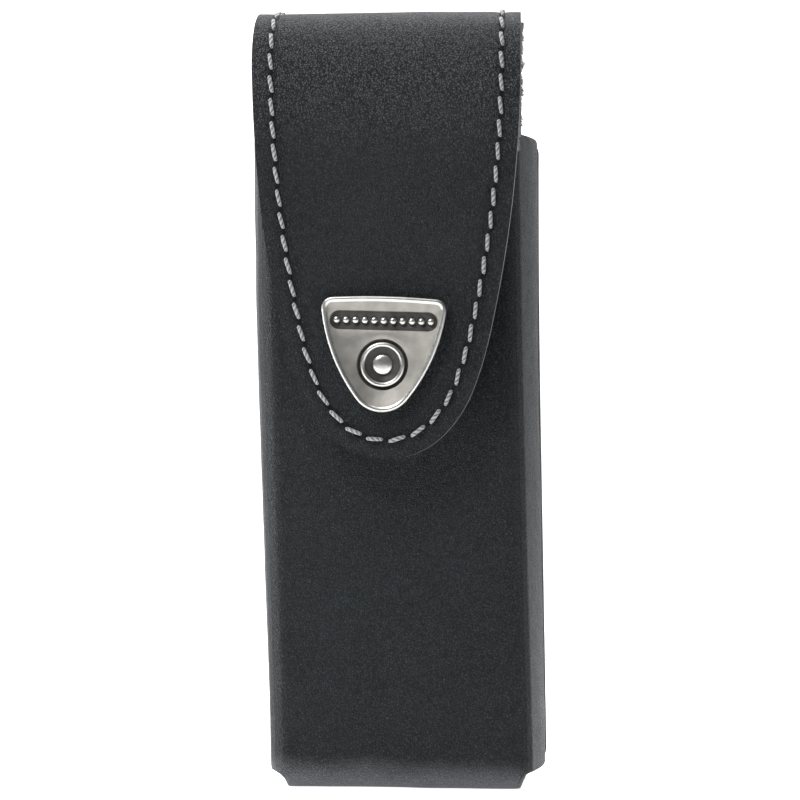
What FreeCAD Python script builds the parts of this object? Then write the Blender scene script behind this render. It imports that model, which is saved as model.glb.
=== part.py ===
"""Leather belt pouch for a folded pocket multi-tool, closed by a hook-and-loop flap.

The pocket is one folded leather shell (front, two side walls and a bottom) sewn to a flat back panel.
The back panel's leather runs on over the mouth as the flap, which is parted here at its two bends:
the crown turns on the back panel, and the tongue turns on the crown.
Frame: +Z up, the front faces -Y, and the origin is the middle of the pocket's flat bottom.
Sizes are millimetres.
"""
import FreeCAD, Part
import math
import os

V = FreeCAD.Vector

# ---------------------------------------------------------------- driving dimensions
LEATHER = 1.8               # thickness of the outer leather
LINING = 1.0                # thickness of the suede lining

FRONT_WIDTH = 45.6          # front face, outside of fold to outside of fold
FLARE_MOUTH = 2.2           # how much wider each side is at the back than at the front, at the mouth
FLARE_BASE = 1.0            # the same at the base
DEPTH = 29.0                # front face to the outside of the back panel
MOUTH_HEIGHT = 113.5        # top edge of the pocket
FRONT_FOLD_RADIUS = 3.4     # outside radius of the two upright front folds
BASE_FOLD_RADIUS = 5.0      # outside radius of the fold from the front into the bottom
REAR_FOLD_RADIUS = 2.4      # outside radius of the folds into the sewn flanges
SIDE_FLANGE_REACH = 6.3     # a side flange's free edge, inwards from the front's edge
FLANGE_GAP = 1.5            # between the side flanges and the base flange
BASE_FLANGE_HEIGHT = 9.0
BASE_CLEARANCE = 2.5        # the bottom is this much narrower at each side, to clear the side walls
CORNER_NOTCH = 3.2          # height of the open notch at each bottom corner
MOUTH_CORNER_RADIUS = 2.5   # rounding of the side walls' upper rear corners

PANEL_BASE_GAP = 0.3        # back panel's lower edge above the base
PANEL_CORNER_RADIUS = 5.0
SHOULDER_RADIUS = 1.5       # corners where the back panel narrows into the neck
NECK_INSET = 3.2            # each side, from the back panel's edge to the flap's edge
NECK_RISE = 2.5             # from the mouth to the line where the flap bends
LINING_INSET = 0.5          # the back lining is cut a little smaller than the back panel

FLAP_RISE = 21.8            # highest point of the closed flap above the mouth
CROWN_SHOULDER_RADIUS = 10.5
CROWN_SHOULDER_TURN = 82.0  # degrees of bend in each shoulder; the top arc takes the rest
TONGUE_BEND_ANGLE = 45.0    # where on the front shoulder the tongue is parted from the crown
TONGUE_DROP = 56.2          # the tongue's tip below the mouth
TONGUE_ARCS = [(14.5, 45.0), (22.0, 23.0), (60.0, 9.0), (217.0, 13.0)]  # radius, turn, from the tip

PATCH_THICKNESS = 0.9
PATCH_GAP = 0.25            # between the closed hook and loop patches
PATCH_CORNER_RADIUS = 2.0
PATCH_SEAM_INSET = 1.6
LOOP_PATCH_WIDTH = 24.0
LOOP_PATCH_HEIGHT = 23.4
LOOP_PATCH_DROP = 34.5      # centre below the mouth
HOOK_PATCH_WIDTH = 20.0
HOOK_PATCH_HEIGHT = 20.0
HOOK_PATCH_DROP = 36.0

BADGE_RISE = 8.0            # lowest point of the badge above the tongue's tip
BADGE_ARCS = [(5.6, 52.0), (31.0, 31.0), (1.9, 93.0)]  # radius, turn, from the lowest point
BADGE_THICKNESS = 1.3
BADGE_RIM = 0.9
BADGE_RECESS = 0.25
BADGE_POST_RADIUS = 1.1
BADGE_POST_SPACING = 12.0
BADGE_POST_RISE = 14.2      # above the badge's lowest point
BADGE_HEAD_RADIUS = 1.6
BADGE_HEAD_THICKNESS = 0.35
WASHER_RADIUS = 2.5
WASHER_THICKNESS = 0.4

LOOP_THICKNESS = 2.0        # belt loop leather
LOOP_HALF_WIDTH = 16.0
LOOP_BELT_GAP = 5.5         # room for the belt's thickness
LOOP_BELT_HEIGHT = 58.0     # between the two sewn ends
LOOP_FLANGE = 11.0          # sewn length at each end
LOOP_BEND_RADIUS = 3.6      # centre line of the loop's four bends
LOOP_DROP = 13.5            # upper end below the mouth
LOOP_SEAM_INSET = 2.6
LOOP_SEAM_CORNER = 1.0

THREAD_WIDTH = 0.8          # the sewing thread where it lies on the leather
THREAD_HEIGHT = 0.4
THREAD_LEG_RADIUS = 0.3     # the sewing thread inside a needle hole
STITCH_PITCH = 3.9
SEAM_INSET = 3.3            # seam line from the cut edge
BEND_MARGIN = 1.3           # last needle hole from a bend line
BEND_CLEARANCE = 0.75       # outer thread from a bend line
FINE_THREAD = 0.35          # side of the thread on the patches
FINE_LEG_RADIUS = 0.13
FINE_PITCH = 3.0
GROOVE_WIDTH = 0.6
GROOVE_DEPTH = 0.45
HOLE_CLEARANCE = 0.1        # threads, posts and washers in their holes
GROOVE_CLEARANCE = 0.02     # patch threads off the faces that they lie along
THREAD_END_GAP = 0.04       # between the needle and bobbin threads in the hole
CUT = 60.0                  # reach of a cutting block past the pouch

# ---------------------------------------------------------------- derived places
BACK_HALF_MOUTH = FRONT_WIDTH / 2 + FLARE_MOUTH
BACK_HALF_BASE = FRONT_WIDTH / 2 + FLARE_BASE
BASE_HALF_WIDTH = FRONT_WIDTH / 2 - BASE_CLEARANCE
SIDE_FLANGE_EDGE = FRONT_WIDTH / 2 - SIDE_FLANGE_REACH
BASE_FLANGE_HALF_WIDTH = SIDE_FLANGE_EDGE - FLANGE_GAP
NECK_HALF_WIDTH = BACK_HALF_MOUTH - NECK_INSET
FRONT_FACE = -DEPTH / 2
BACK_FACE = DEPTH / 2
PANEL_INSIDE = BACK_FACE - LEATHER
FLANGE_FACE = PANEL_INSIDE - LINING
FLANGE_INSIDE = FLANGE_FACE - LEATHER
LOOP_PATCH_FACE = FRONT_FACE - PATCH_THICKNESS
HOOK_PATCH_FACE = LOOP_PATCH_FACE - PATCH_GAP
LINING_FACE = HOOK_PATCH_FACE - PATCH_THICKNESS
TONGUE_INSIDE = LINING_FACE - LINING
TONGUE_FACE = TONGUE_INSIDE - LEATHER
BEND_HEIGHT = MOUTH_HEIGHT + NECK_RISE
FLAP_TOP = MOUTH_HEIGHT + FLAP_RISE
TONGUE_TIP_HEIGHT = MOUTH_HEIGHT - TONGUE_DROP
LOOP_PATCH_CENTRE = MOUTH_HEIGHT - LOOP_PATCH_DROP
HOOK_PATCH_CENTRE = MOUTH_HEIGHT - HOOK_PATCH_DROP
BADGE_BASE_HEIGHT = TONGUE_TIP_HEIGHT + BADGE_RISE
BADGE_POST_HEIGHT = BADGE_BASE_HEIGHT + BADGE_POST_RISE
LOOP_CENTRE = MOUTH_HEIGHT - LOOP_DROP - LOOP_FLANGE - LOOP_BELT_HEIGHT / 2
FLAP_THICKNESS = LEATHER + LINING


# ---------------------------------------------------------------- flat runs of lines and arcs
class Line:
    def __init__(self, start, end):
        self.start, self.end = start, end
        self.length = math.dist(start, end)
        self.heading = math.atan2(end[1] - start[1], end[0] - start[0])

    def at(self, distance):
        share = distance / self.length
        u = self.start[0] + share * (self.end[0] - self.start[0])
        v = self.start[1] + share * (self.end[1] - self.start[1])
        return (u, v), self.heading

    def edge(self, place):
        return Part.LineSegment(place(*self.start), place(*self.end)).toShape()


class Arc:
    """An arc that leaves start along heading and turns by turn radians, left if positive."""

    def __init__(self, start, heading, radius, turn):
        self.start, self.heading, self.radius, self.turn = start, heading, radius, turn
        self.side = 1 if turn > 0 else -1
        self.centre = (start[0] - self.side * radius * math.sin(heading),
                       start[1] + self.side * radius * math.cos(heading))
        self.length = radius * abs(turn)
        self.end = self.at(self.length)[0]

    def at(self, distance):
        heading = self.heading + self.side * distance / self.radius
        u = self.centre[0] + self.side * self.radius * math.sin(heading)
        v = self.centre[1] - self.side * self.radius * math.cos(heading)
        return (u, v), heading

    def edge(self, place):
        middle = self.at(self.length / 2)[0]
        return Part.Arc(place(*self.start), place(*middle), place(*self.end)).toShape()


def run(start, heading, moves, inset=0.0):
    """Tangent moves from a start: a number goes straight, a pair (radius, degrees) turns.

    inset shifts the whole run to its left."""
    angle = math.radians(heading)
    point = (start[0] - inset * math.sin(angle), start[1] + inset * math.cos(angle))
    track = []
    for move in moves:
        if isinstance(move, tuple):
            turn = math.radians(move[1])
            side = 1 if turn > 0 else -1
            track.append(Arc(point, angle, move[0] - side * inset, turn))
            angle += turn
        else:
            end = (point[0] + move * math.cos(angle), point[1] + move * math.sin(angle))
            track.append(Line(point, end))
        point = track[-1].end
    return track


def rounded(points, radii, closed=False):
    """A polyline whose corners are rounded; radii holds one radius for each rounded corner."""
    count = len(points)
    corners = range(count) if closed else range(1, count - 1)
    entry = {0: points[0]}
    leave = {count - 1: points[-1]}
    arcs = {}
    for corner, radius in zip(corners, radii):
        before, here, after = points[corner - 1], points[corner], points[(corner + 1) % count]
        come = math.atan2(here[1] - before[1], here[0] - before[0])
        go = math.atan2(after[1] - here[1], after[0] - here[0])
        turn = (go - come + math.pi) % (2 * math.pi) - math.pi
        reach = radius * math.tan(abs(turn) / 2)
        start = (here[0] - reach * math.cos(come), here[1] - reach * math.sin(come))
        arcs[corner] = Arc(start, come, radius, turn)
        leave[corner], entry[corner] = start, arcs[corner].end
    track = []
    for corner in range(count if closed else count - 1):
        following = (corner + 1) % count
        track.append(Line(entry[corner], leave[following]))
        if following in arcs:
            track.append(arcs[following])
    return track


def track_length(track):
    return sum(piece.length for piece in track)


def walk(track, distance):
    """The point and heading at a distance along a track."""
    for piece in track:
        if distance <= piece.length:
            return piece.at(distance)
        distance -= piece.length
    return track[-1].at(track[-1].length)


def box_track(width, height, centre, radius):
    half, low, high = width / 2, centre - height / 2, centre + height / 2
    corners = [(-half, low), (half, low), (half, high), (-half, high)]
    return rounded(corners, [radius] * 4, closed=True)


# ---------------------------------------------------------------- solids from tracks
def on_front(y):
    """Places a track's (u, v) as (x, z) on an upright plane."""
    return lambda u, v: V(u, y, v)


def on_side(x):
    """Places a track's (u, v) as (y, z) on a plane across the pouch."""
    return lambda u, v: V(x, u, v)


def face_of(edges):
    return Part.Face(Part.Wire(Part.__sortEdges__(edges)))


def closed_prism(track, y, thickness):
    """A closed (x, z) track from y, thick towards +Y."""
    return face_of([piece.edge(on_front(y)) for piece in track]).extrude(V(0, thickness, 0))


def mirrored_prism(track, y, thickness):
    """A half outline that starts on the centre line, with its mirror image, thick towards +Y."""
    right = [piece.edge(on_front(y)) for piece in track]
    left = [piece.edge(lambda u, v: V(-u, y, v)) for piece in track]
    edges = right + left
    end = track[-1].end
    if end[0] > 1e-6:
        edges.append(Part.LineSegment(V(end[0], y, end[1]), V(-end[0], y, end[1])).toShape())
    return face_of(edges).extrude(V(0, thickness, 0))


def band_prism(outer, inner, half_width):
    """The strip between two (y, z) tracks, across the pouch."""
    place = on_side(-half_width)
    edges = [piece.edge(place) for piece in outer + inner]
    for end in (0, -1):
        a = outer[end].start if end == 0 else outer[end].end
        b = inner[end].start if end == 0 else inner[end].end
        edges.append(Part.LineSegment(place(*a), place(*b)).toShape())
    return face_of(edges).extrude(V(2 * half_width, 0, 0))


def block(x0, x1, y0, y1, z0, z1):
    return Part.makeBox(x1 - x0, y1 - y0, z1 - z0, V(x0, y0, z0))


def both_sides(shape):
    """A shape and its mirror image across the centre plane."""
    return [shape, shape.mirror(V(0, 0, 0), V(1, 0, 0))]


def single(shape):
    """The one solid of a boolean's result."""
    solids = shape.removeSplitter().Solids
    if len(solids) != 1:
        raise ValueError("expected one solid, got %d" % len(solids))
    return solids[0]


# ---------------------------------------------------------------- seams
class Hole:
    """One needle hole: a point on the outer face, the outward normal and the sewn thickness."""

    def __init__(self, point, normal, depth):
        self.point, self.normal, self.depth = point, normal, depth

    def leg(self, start, end, radius):
        """A round bar down the hole, between two depths under the outer face."""
        return Part.makeCylinder(radius, end - start, self.point - self.normal * start, self.normal * -1)

    def cutter(self):
        radius = THREAD_LEG_RADIUS + HOLE_CLEARANCE
        return self.leg(-THREAD_HEIGHT, self.depth + THREAD_HEIGHT, radius)


def needle_thread(rail, holes):
    """The outer thread: its rail on the leather and a leg half way down each hole."""
    half = THREAD_HEIGHT / 2
    legs = [h.leg(-half, (h.depth - THREAD_END_GAP) / 2, THREAD_LEG_RADIUS) for h in holes]
    return single(rail.multiFuse(legs))


def bobbin_thread(rail, holes):
    """The inner thread: its rail, and a leg up each hole to meet the needle thread."""
    half = THREAD_HEIGHT / 2
    legs = [h.leg((h.depth + THREAD_END_GAP) / 2, h.depth + half, THREAD_LEG_RADIUS) for h in holes]
    return single(rail.multiFuse(legs))


def spaced(length, pitch, first=0.0, last=0.0):
    """Even distances along a length, with a margin at each end."""
    count = max(1, round((length - first - last) / pitch))
    return [first + k * (length - first - last) / count for k in range(count + 1)]


def pierce(shape, holes):
    return shape.cut(Part.makeCompound([hole.cutter() for hole in holes]))


# ---------------------------------------------------------------- the flap's two outlines
def tongue_track(inset=0.0):
    """The right half of the tongue's edge in (x, z), from its tip."""
    return run((0.0, TONGUE_TIP_HEIGHT), 0.0, TONGUE_ARCS, inset)


TONGUE_HALF_WIDTH = tongue_track()[-1].end[0]
SHOULDER_COS = math.cos(math.radians(CROWN_SHOULDER_TURN))
SHOULDER_SIN = math.sin(math.radians(CROWN_SHOULDER_TURN))
CROWN_TOP_SPAN = BACK_FACE - TONGUE_FACE - 2 * CROWN_SHOULDER_RADIUS * (1 - SHOULDER_COS)
CROWN_TOP_RADIUS = CROWN_TOP_SPAN / (2 * SHOULDER_COS)
CROWN_SPRING = (FLAP_TOP - CROWN_SHOULDER_RADIUS * SHOULDER_SIN
                - CROWN_TOP_RADIUS * (1 - SHOULDER_SIN))  # height where the arch springs
TONGUE_LENGTH = CROWN_SPRING - TONGUE_TIP_HEIGHT


def tongue_profile(depth):
    """The tongue's side profile in (y, z) at a depth under its outer face, up to the front bend."""
    below_tip = TONGUE_LENGTH + SEAM_INSET
    start = (TONGUE_FACE, CROWN_SPRING - below_tip)
    return run(start, 90.0, [below_tip, (CROWN_SHOULDER_RADIUS, -TONGUE_BEND_ANGLE)], -depth)


def crown_profile(depth):
    """The crown's side profile in (y, z) at a depth under its outer face, front bend to back bend."""
    bend = tongue_profile(0.0)[-1].end
    moves = [(CROWN_SHOULDER_RADIUS, TONGUE_BEND_ANGLE - CROWN_SHOULDER_TURN),
             (CROWN_TOP_RADIUS, 2 * CROWN_SHOULDER_TURN - 180.0),
             (CROWN_SHOULDER_RADIUS, -CROWN_SHOULDER_TURN),
             CROWN_SPRING - BEND_HEIGHT]
    return run(bend, 90.0 - TONGUE_BEND_ANGLE, moves, -depth)


def flap_half_width(y):
    """The flap narrows evenly from its front to the neck."""
    share = (y - TONGUE_FACE) / (BACK_FACE - TONGUE_FACE)
    return TONGUE_HALF_WIDTH + share * (NECK_HALF_WIDTH - TONGUE_HALF_WIDTH)


def flap_plan(inset=0.0):
    """Everything inside the flap's two side edges, seen from above."""
    front, back = TONGUE_FACE - THREAD_HEIGHT, BACK_FACE + THREAD_HEIGHT
    at_front, at_back = flap_half_width(front) - inset, flap_half_width(back) - inset
    corners = [V(-at_front, front, 0), V(at_front, front, 0), V(at_back, back, 0), V(-at_back, back, 0)]
    return Part.Face(Part.makePolygon(corners + corners[:1])).extrude(V(0, 0, 2 * FLAP_TOP))


def tongue_plan(inset=0.0):
    """Everything inside the tongue's outline, seen from the front, and inside the flap's edges."""
    outline = tongue_track(inset)
    end = outline[-1].end
    outline.append(Line(end, (end[0], end[1] + FLAP_TOP)))
    return mirrored_prism(outline, TONGUE_FACE - THREAD_HEIGHT, DEPTH).common(flap_plan(inset))


def layer(profile, plan, outside, inside):
    """The part of a plan between two depths under the flap's outer face."""
    return band_prism(profile(outside), profile(inside), CUT / 2).common(plan())


def rail(profile, plan, outside, inside):
    """A seam's thread between two depths, kept clear of the bend lines."""
    half = THREAD_WIDTH / 2
    strip = plan(SEAM_INSET - half).cut(plan(SEAM_INSET + half))
    thread = band_prism(profile(outside), profile(inside), CUT / 2).common(strip)
    for y, z in (tongue_profile(0.0)[-1].end, (BACK_FACE, BEND_HEIGHT)):
        thread = thread.cut(Part.makeCylinder(BEND_CLEARANCE, 2 * CUT, V(-CUT, y, z), V(1, 0, 0)))
    return thread


# ---------------------------------------------------------------- needle holes of each seam
def profile_hole(profile, distance, side):
    (y, z), heading = walk(profile, distance)
    normal = V(0, -math.sin(heading), math.cos(heading))
    return Hole(V(side * (flap_half_width(y) - SEAM_INSET), y, z), normal, FLAP_THICKNESS)


def crown_holes():
    """The left edge's holes, then the right edge's."""
    profile = crown_profile(0.0)
    distances = spaced(track_length(profile), STITCH_PITCH, BEND_MARGIN, BEND_MARGIN)
    return [[profile_hole(profile, distance, side) for distance in distances] for side in (-1, 1)]


def tongue_holes():
    """Down the left of the tongue, round its tip and up the right."""
    flat = tongue_track(SEAM_INSET)
    flat_length = 0.0
    while walk(flat, flat_length)[0][1] < CROWN_SPRING and flat_length < track_length(flat):
        flat_length += 0.05
    bend = tongue_profile(0.0)[-1:]
    total = flat_length + bend[0].length
    half = []
    for distance in spaced(total, STITCH_PITCH, STITCH_PITCH / 2, BEND_MARGIN):
        if distance <= flat_length:
            (x, z), heading = walk(flat, distance)
            half.append(Hole(V(x, TONGUE_FACE, z), V(0, -1, 0), FLAP_THICKNESS))
        else:
            half.append(profile_hole(bend, distance - flat_length, 1))
    left = [Hole(V(-h.point.x, h.point.y, h.point.z), h.normal, h.depth) for h in reversed(half)]
    return left + half


def back_half_width(z):
    """Half the width of the side walls' outsides at the back, at a height."""
    return BACK_HALF_BASE + (BACK_HALF_MOUTH - BACK_HALF_BASE) * z / MOUTH_HEIGHT


BASE_SEAM_HEIGHT = CORNER_NOTCH + 2.0
FLANGE_TOP = MOUTH_HEIGHT - MOUTH_CORNER_RADIUS
SHOULDER_SEAM_START = MOUTH_HEIGHT - 2 * SEAM_INSET
SHOULDER_SEAM_END = MOUTH_HEIGHT - 1.0


def back_depth(x, z):
    """Thickness sewn at a point of the back seam: the flange is there on most of it."""
    on_side_flange = abs(x) > SIDE_FLANGE_EDGE and z < FLANGE_TOP
    on_base_flange = abs(x) < BASE_FLANGE_HALF_WIDTH and z < BASE_FLANGE_HEIGHT
    return FLAP_THICKNESS + (LEATHER if on_side_flange or on_base_flange else 0.0)


def back_seam_track(inset):
    """The right half of the back seam, or a line beside it, from the middle of the base."""
    shift = inset - SEAM_INSET
    neck = NECK_HALF_WIDTH - inset
    mouth = back_half_width(MOUTH_HEIGHT) - inset
    base = back_half_width(BASE_SEAM_HEIGHT) - inset
    low = BASE_SEAM_HEIGHT + shift
    points = [(0.0, low), (base, low), (mouth, SHOULDER_SEAM_START - shift),
              (neck, SHOULDER_SEAM_END - shift), (neck, BEND_HEIGHT)]
    return rounded(points, [SEAM_INSET - shift, SEAM_INSET - shift, SEAM_INSET + shift])


def back_rail(y, low, high, thickness=THREAD_HEIGHT):
    """The back seam's thread from y towards +Y, between two heights."""
    half = THREAD_WIDTH / 2
    outside = mirrored_prism(back_seam_track(SEAM_INSET - half), y, thickness)
    inside = mirrored_prism(back_seam_track(SEAM_INSET + half), y, thickness)
    return outside.cut(inside).common(block(-CUT, CUT, -CUT, CUT, low, high))


def back_needle_rail():
    return back_rail(BACK_FACE, 0.0, BEND_HEIGHT - BEND_CLEARANCE)


def back_bobbin_rail():
    """Along the flanges, then off their upper ends and up the lining."""
    step = FLANGE_TOP + HOLE_CLEARANCE
    start = FLANGE_INSIDE - THREAD_HEIGHT
    flange_rail = back_rail(start, 0.0, step + THREAD_HEIGHT)
    rise = back_rail(start, step, step + THREAD_HEIGHT, FLANGE_FACE - start)
    lining_rail = back_rail(FLANGE_FACE - THREAD_HEIGHT, step, BEND_HEIGHT)
    return flange_rail.multiFuse([rise, lining_rail])


def back_holes():
    """Down the left of the back panel, along the base and up the right."""
    track = back_seam_track(SEAM_INSET)
    half = []
    for distance in spaced(track_length(track), STITCH_PITCH, STITCH_PITCH / 2, BEND_MARGIN):
        (x, z), heading = walk(track, distance)
        half.append(Hole(V(x, BACK_FACE, z), V(0, 1, 0), back_depth(x, z)))
    left = [Hole(V(-h.point.x, h.point.y, h.point.z), h.normal, h.depth) for h in reversed(half)]
    return left + half


def box_ring(width, height, centre, radius, y, side, thickness):
    """A ring of a given side width along a rounded rectangle, thick towards +Y."""
    def outline(grow):
        return box_track(width + 2 * grow, height + 2 * grow, centre, radius + grow)
    outside = closed_prism(outline(side / 2), y, thickness)
    return outside.cut(closed_prism(outline(-side / 2), y, thickness))


LOOP_SEAM_SIZE = (2 * (LOOP_HALF_WIDTH - LOOP_SEAM_INSET), LOOP_FLANGE - 2 * LOOP_SEAM_INSET)


def belt_loop_holes(centre):
    """A closed rectangle of stitches through one sewn end of the belt loop."""
    track = box_track(*LOOP_SEAM_SIZE, centre, LOOP_SEAM_CORNER)
    face = BACK_FACE + LOOP_THICKNESS
    holes = []
    for distance in spaced(track_length(track), STITCH_PITCH)[:-1]:
        (x, z), heading = walk(track, distance)
        holes.append(Hole(V(x, face, z), V(0, 1, 0), LOOP_THICKNESS + FLAP_THICKNESS))
    return holes


LOOP_SEAM_CENTRES = {
    "lower": LOOP_CENTRE - (LOOP_BELT_HEIGHT + LOOP_FLANGE) / 2,
    "upper": LOOP_CENTRE + (LOOP_BELT_HEIGHT + LOOP_FLANGE) / 2,
}


def belt_loop_rail(centre, y):
    return box_ring(*LOOP_SEAM_SIZE, centre, LOOP_SEAM_CORNER, y, THREAD_WIDTH, THREAD_HEIGHT)


# ---------------------------------------------------------------- pocket
def pocket_outline(z, inset):
    """The pocket's cross-section at a height, inset by a wall, as a closed wire."""
    front, back = FRONT_FACE + inset, FLANGE_FACE - inset
    front_half, back_half = FRONT_WIDTH / 2 - inset, back_half_width(z) - inset
    corners = [(-front_half, front), (front_half, front), (back_half, back), (-back_half, back)]
    front_radius, rear_radius = FRONT_FOLD_RADIUS - inset, REAR_FOLD_RADIUS - inset
    track = rounded(corners, [front_radius, front_radius, rear_radius, rear_radius], closed=True)
    return Part.Wire(Part.__sortEdges__([piece.edge(lambda u, v: V(u, v, z)) for piece in track]))


def pocket_block(inset):
    """The pocket's outer form, or its hollow when inset by the wall."""
    top = MOUTH_HEIGHT + inset
    upright = Part.makeLoft([pocket_outline(0.0, inset), pocket_outline(top, inset)], True, True)
    front, back = FRONT_FACE + inset, FLANGE_FACE - inset
    corners = [(front, top), (front, inset), (back, inset), (back, top)]
    side = rounded(corners, [BASE_FOLD_RADIUS - inset, REAR_FOLD_RADIUS - inset])
    side.append(Line((back, top), (front, top)))
    profile = face_of([piece.edge(on_side(-CUT / 2)) for piece in side])
    return upright.common(profile.extrude(V(CUT, 0, 0)))


def pocket_cutters():
    """What is cut from the folded blank: the open back, the gaps between flanges and the notches."""
    behind = FLANGE_INSIDE - 0.01
    cutters = [block(-SIDE_FLANGE_EDGE, SIDE_FLANGE_EDGE, behind, CUT, BASE_FLANGE_HEIGHT, FLAP_TOP)]
    gap = block(BASE_FLANGE_HALF_WIDTH, SIDE_FLANGE_EDGE, behind, CUT, -1, CUT)
    below_flange = block(BASE_FLANGE_HALF_WIDTH, CUT, FLANGE_FACE - REAR_FOLD_RADIUS, CUT,
                         -1, CORNER_NOTCH)
    side_notch = block(BASE_HALF_WIDTH, CUT, FRONT_FACE + LEATHER, CUT, -1, CORNER_NOTCH)
    scoop_centre = V(BASE_HALF_WIDTH + CORNER_NOTCH, -CUT, 0)
    scoop = Part.makeCylinder(CORNER_NOTCH, 2 * CUT, scoop_centre, V(0, 1, 0))
    outer_scrap = block(BASE_HALF_WIDTH + CORNER_NOTCH, CUT, -CUT, CUT, -1, CORNER_NOTCH)
    for cutter in (gap, below_flange, side_notch, scoop, outer_scrap):
        cutters += both_sides(cutter)
    reach = MOUTH_CORNER_RADIUS
    corner = block(-CUT, CUT, FLANGE_FACE - reach, CUT, FLANGE_TOP, FLAP_TOP)
    round_off = Part.makeCylinder(reach, 2 * CUT, V(-CUT, FLANGE_FACE - reach, FLANGE_TOP), V(1, 0, 0))
    cutters.append(corner.cut(round_off))
    flange_flat = back_half_width(MOUTH_HEIGHT) - REAR_FOLD_RADIUS
    cutters.append(block(-flange_flat, flange_flat, behind, CUT, FLANGE_TOP, FLAP_TOP))
    return cutters


def front_shell(seam_holes, patch_legs):
    shell = pocket_block(0.0).cut(pocket_block(LEATHER))
    for cutter in pocket_cutters():
        shell = shell.cut(cutter)
    return pierce(single(shell).cut(patch_legs), seam_holes)


def back_track(inset):
    """The right half of the back panel's outline, from the middle of its lower edge."""
    low = PANEL_BASE_GAP + inset
    base, mouth = back_half_width(low) - inset, back_half_width(MOUTH_HEIGHT) - inset
    neck = flap_half_width(BACK_FACE) - inset
    points = [(0.0, low), (base, low), (mouth, MOUTH_HEIGHT - inset),
              (neck, MOUTH_HEIGHT - inset), (neck, BEND_HEIGHT)]
    corner = PANEL_CORNER_RADIUS - inset
    return rounded(points, [corner, SHOULDER_RADIUS - inset, SHOULDER_RADIUS + inset])


def back_panel(holes):
    return single(pierce(mirrored_prism(back_track(0.0), PANEL_INSIDE, LEATHER), holes))


def back_lining(holes):
    return single(pierce(mirrored_prism(back_track(LINING_INSET), FLANGE_FACE, LINING), holes))


# ---------------------------------------------------------------- belt loop
def belt_loop_profile(depth):
    """The belt loop's side profile in (y, z), at a depth under its outer face."""
    rise = LOOP_BELT_GAP
    radius = LOOP_BEND_RADIUS
    turn = math.degrees(math.acos(1 - rise / (2 * radius))) if rise < 2 * radius else 90.0
    across = rise - 2 * radius * (1 - math.cos(math.radians(turn)))
    outer, inner = radius + LOOP_THICKNESS / 2, radius - LOOP_THICKNESS / 2
    start = (BACK_FACE + LOOP_THICKNESS, LOOP_CENTRE - LOOP_BELT_HEIGHT / 2 - LOOP_FLANGE)
    moves = [LOOP_FLANGE, (inner, -turn), across, (outer, turn),
             LOOP_BELT_HEIGHT - 4 * radius * math.sin(math.radians(turn)),
             (outer, turn), across, (inner, -turn), LOOP_FLANGE]
    return run(start, 90.0, [m for m in moves if m != 0.0], depth)


def belt_loop(holes):
    strip = band_prism(belt_loop_profile(0.0), belt_loop_profile(LOOP_THICKNESS), LOOP_HALF_WIDTH)
    return single(pierce(strip, holes))


# ---------------------------------------------------------------- hook-and-loop patches
def patch_ring(width, height, centre, y, side, thickness):
    """A ring along a patch's seam line, thick towards +Y."""
    inset = 2 * PATCH_SEAM_INSET
    radius = PATCH_CORNER_RADIUS / 2
    return box_ring(width - inset, height - inset, centre, radius, y, side, thickness)


def patch_legs(width, height, centre, y, reach, radius):
    """Round legs along a patch's seam line from y, long towards +Y."""
    inset = PATCH_SEAM_INSET
    track = box_track(width - 2 * inset, height - 2 * inset, centre, PATCH_CORNER_RADIUS / 2)
    legs = []
    for distance in spaced(track_length(track), FINE_PITCH)[:-1]:
        (x, z), heading = walk(track, distance)
        legs.append(Part.makeCylinder(radius, reach, V(x, y, z), V(0, 1, 0)))
    return legs


def patch(width, height, centre, y, groove_y, holes):
    body = closed_prism(box_track(width, height, centre, PATCH_CORNER_RADIUS), y, PATCH_THICKNESS)
    groove = patch_ring(width, height, centre, groove_y, GROOVE_WIDTH, GROOVE_DEPTH)
    return single(body.cut(groove).cut(holes))


# ---------------------------------------------------------------- badge
def badge_track(inset=0.0):
    """The right half of the badge's outline in (x, z), from its lowest point to its top centre."""
    start = (0.0, BADGE_BASE_HEIGHT)
    track = run(start, 0.0, BADGE_ARCS, inset)
    end, heading = track[-1].end, math.radians(sum(turn for radius, turn in BADGE_ARCS))
    closing = math.pi - heading
    return track + [Arc(end, heading, end[0] / math.sin(closing), closing)]


def badge_places():
    half = BADGE_POST_SPACING / 2
    return [V(side * half, 0, BADGE_POST_HEIGHT) for side in (-1, 1)]


def badge_cylinders(radius, y, length):
    return [Part.makeCylinder(radius, length, V(p.x, y, p.z), V(0, 1, 0)) for p in badge_places()]


HEAD_Y = TONGUE_INSIDE - HOLE_CLEARANCE / 2 - BADGE_HEAD_THICKNESS
WASHER_Y = HEAD_Y - WASHER_THICKNESS
COUNTERBORE = TONGUE_INSIDE - WASHER_Y


def badge_plate():
    plate = mirrored_prism(badge_track(), TONGUE_FACE - BADGE_THICKNESS, BADGE_THICKNESS)
    recess = mirrored_prism(badge_track(BADGE_RIM), TONGUE_FACE - BADGE_THICKNESS, BADGE_RECESS)
    shafts = badge_cylinders(BADGE_POST_RADIUS, TONGUE_FACE, HEAD_Y - TONGUE_FACE)
    heads = badge_cylinders(BADGE_HEAD_RADIUS, HEAD_Y, BADGE_HEAD_THICKNESS)
    return single(plate.cut(recess).multiFuse(shafts + heads))


def badge_washers():
    rings = badge_cylinders(WASHER_RADIUS, WASHER_Y, WASHER_THICKNESS)
    bores = badge_cylinders(BADGE_POST_RADIUS + HOLE_CLEARANCE / 2, WASHER_Y, WASHER_THICKNESS)
    return Part.makeCompound([ring.cut(bore) for ring, bore in zip(rings, bores)])


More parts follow.
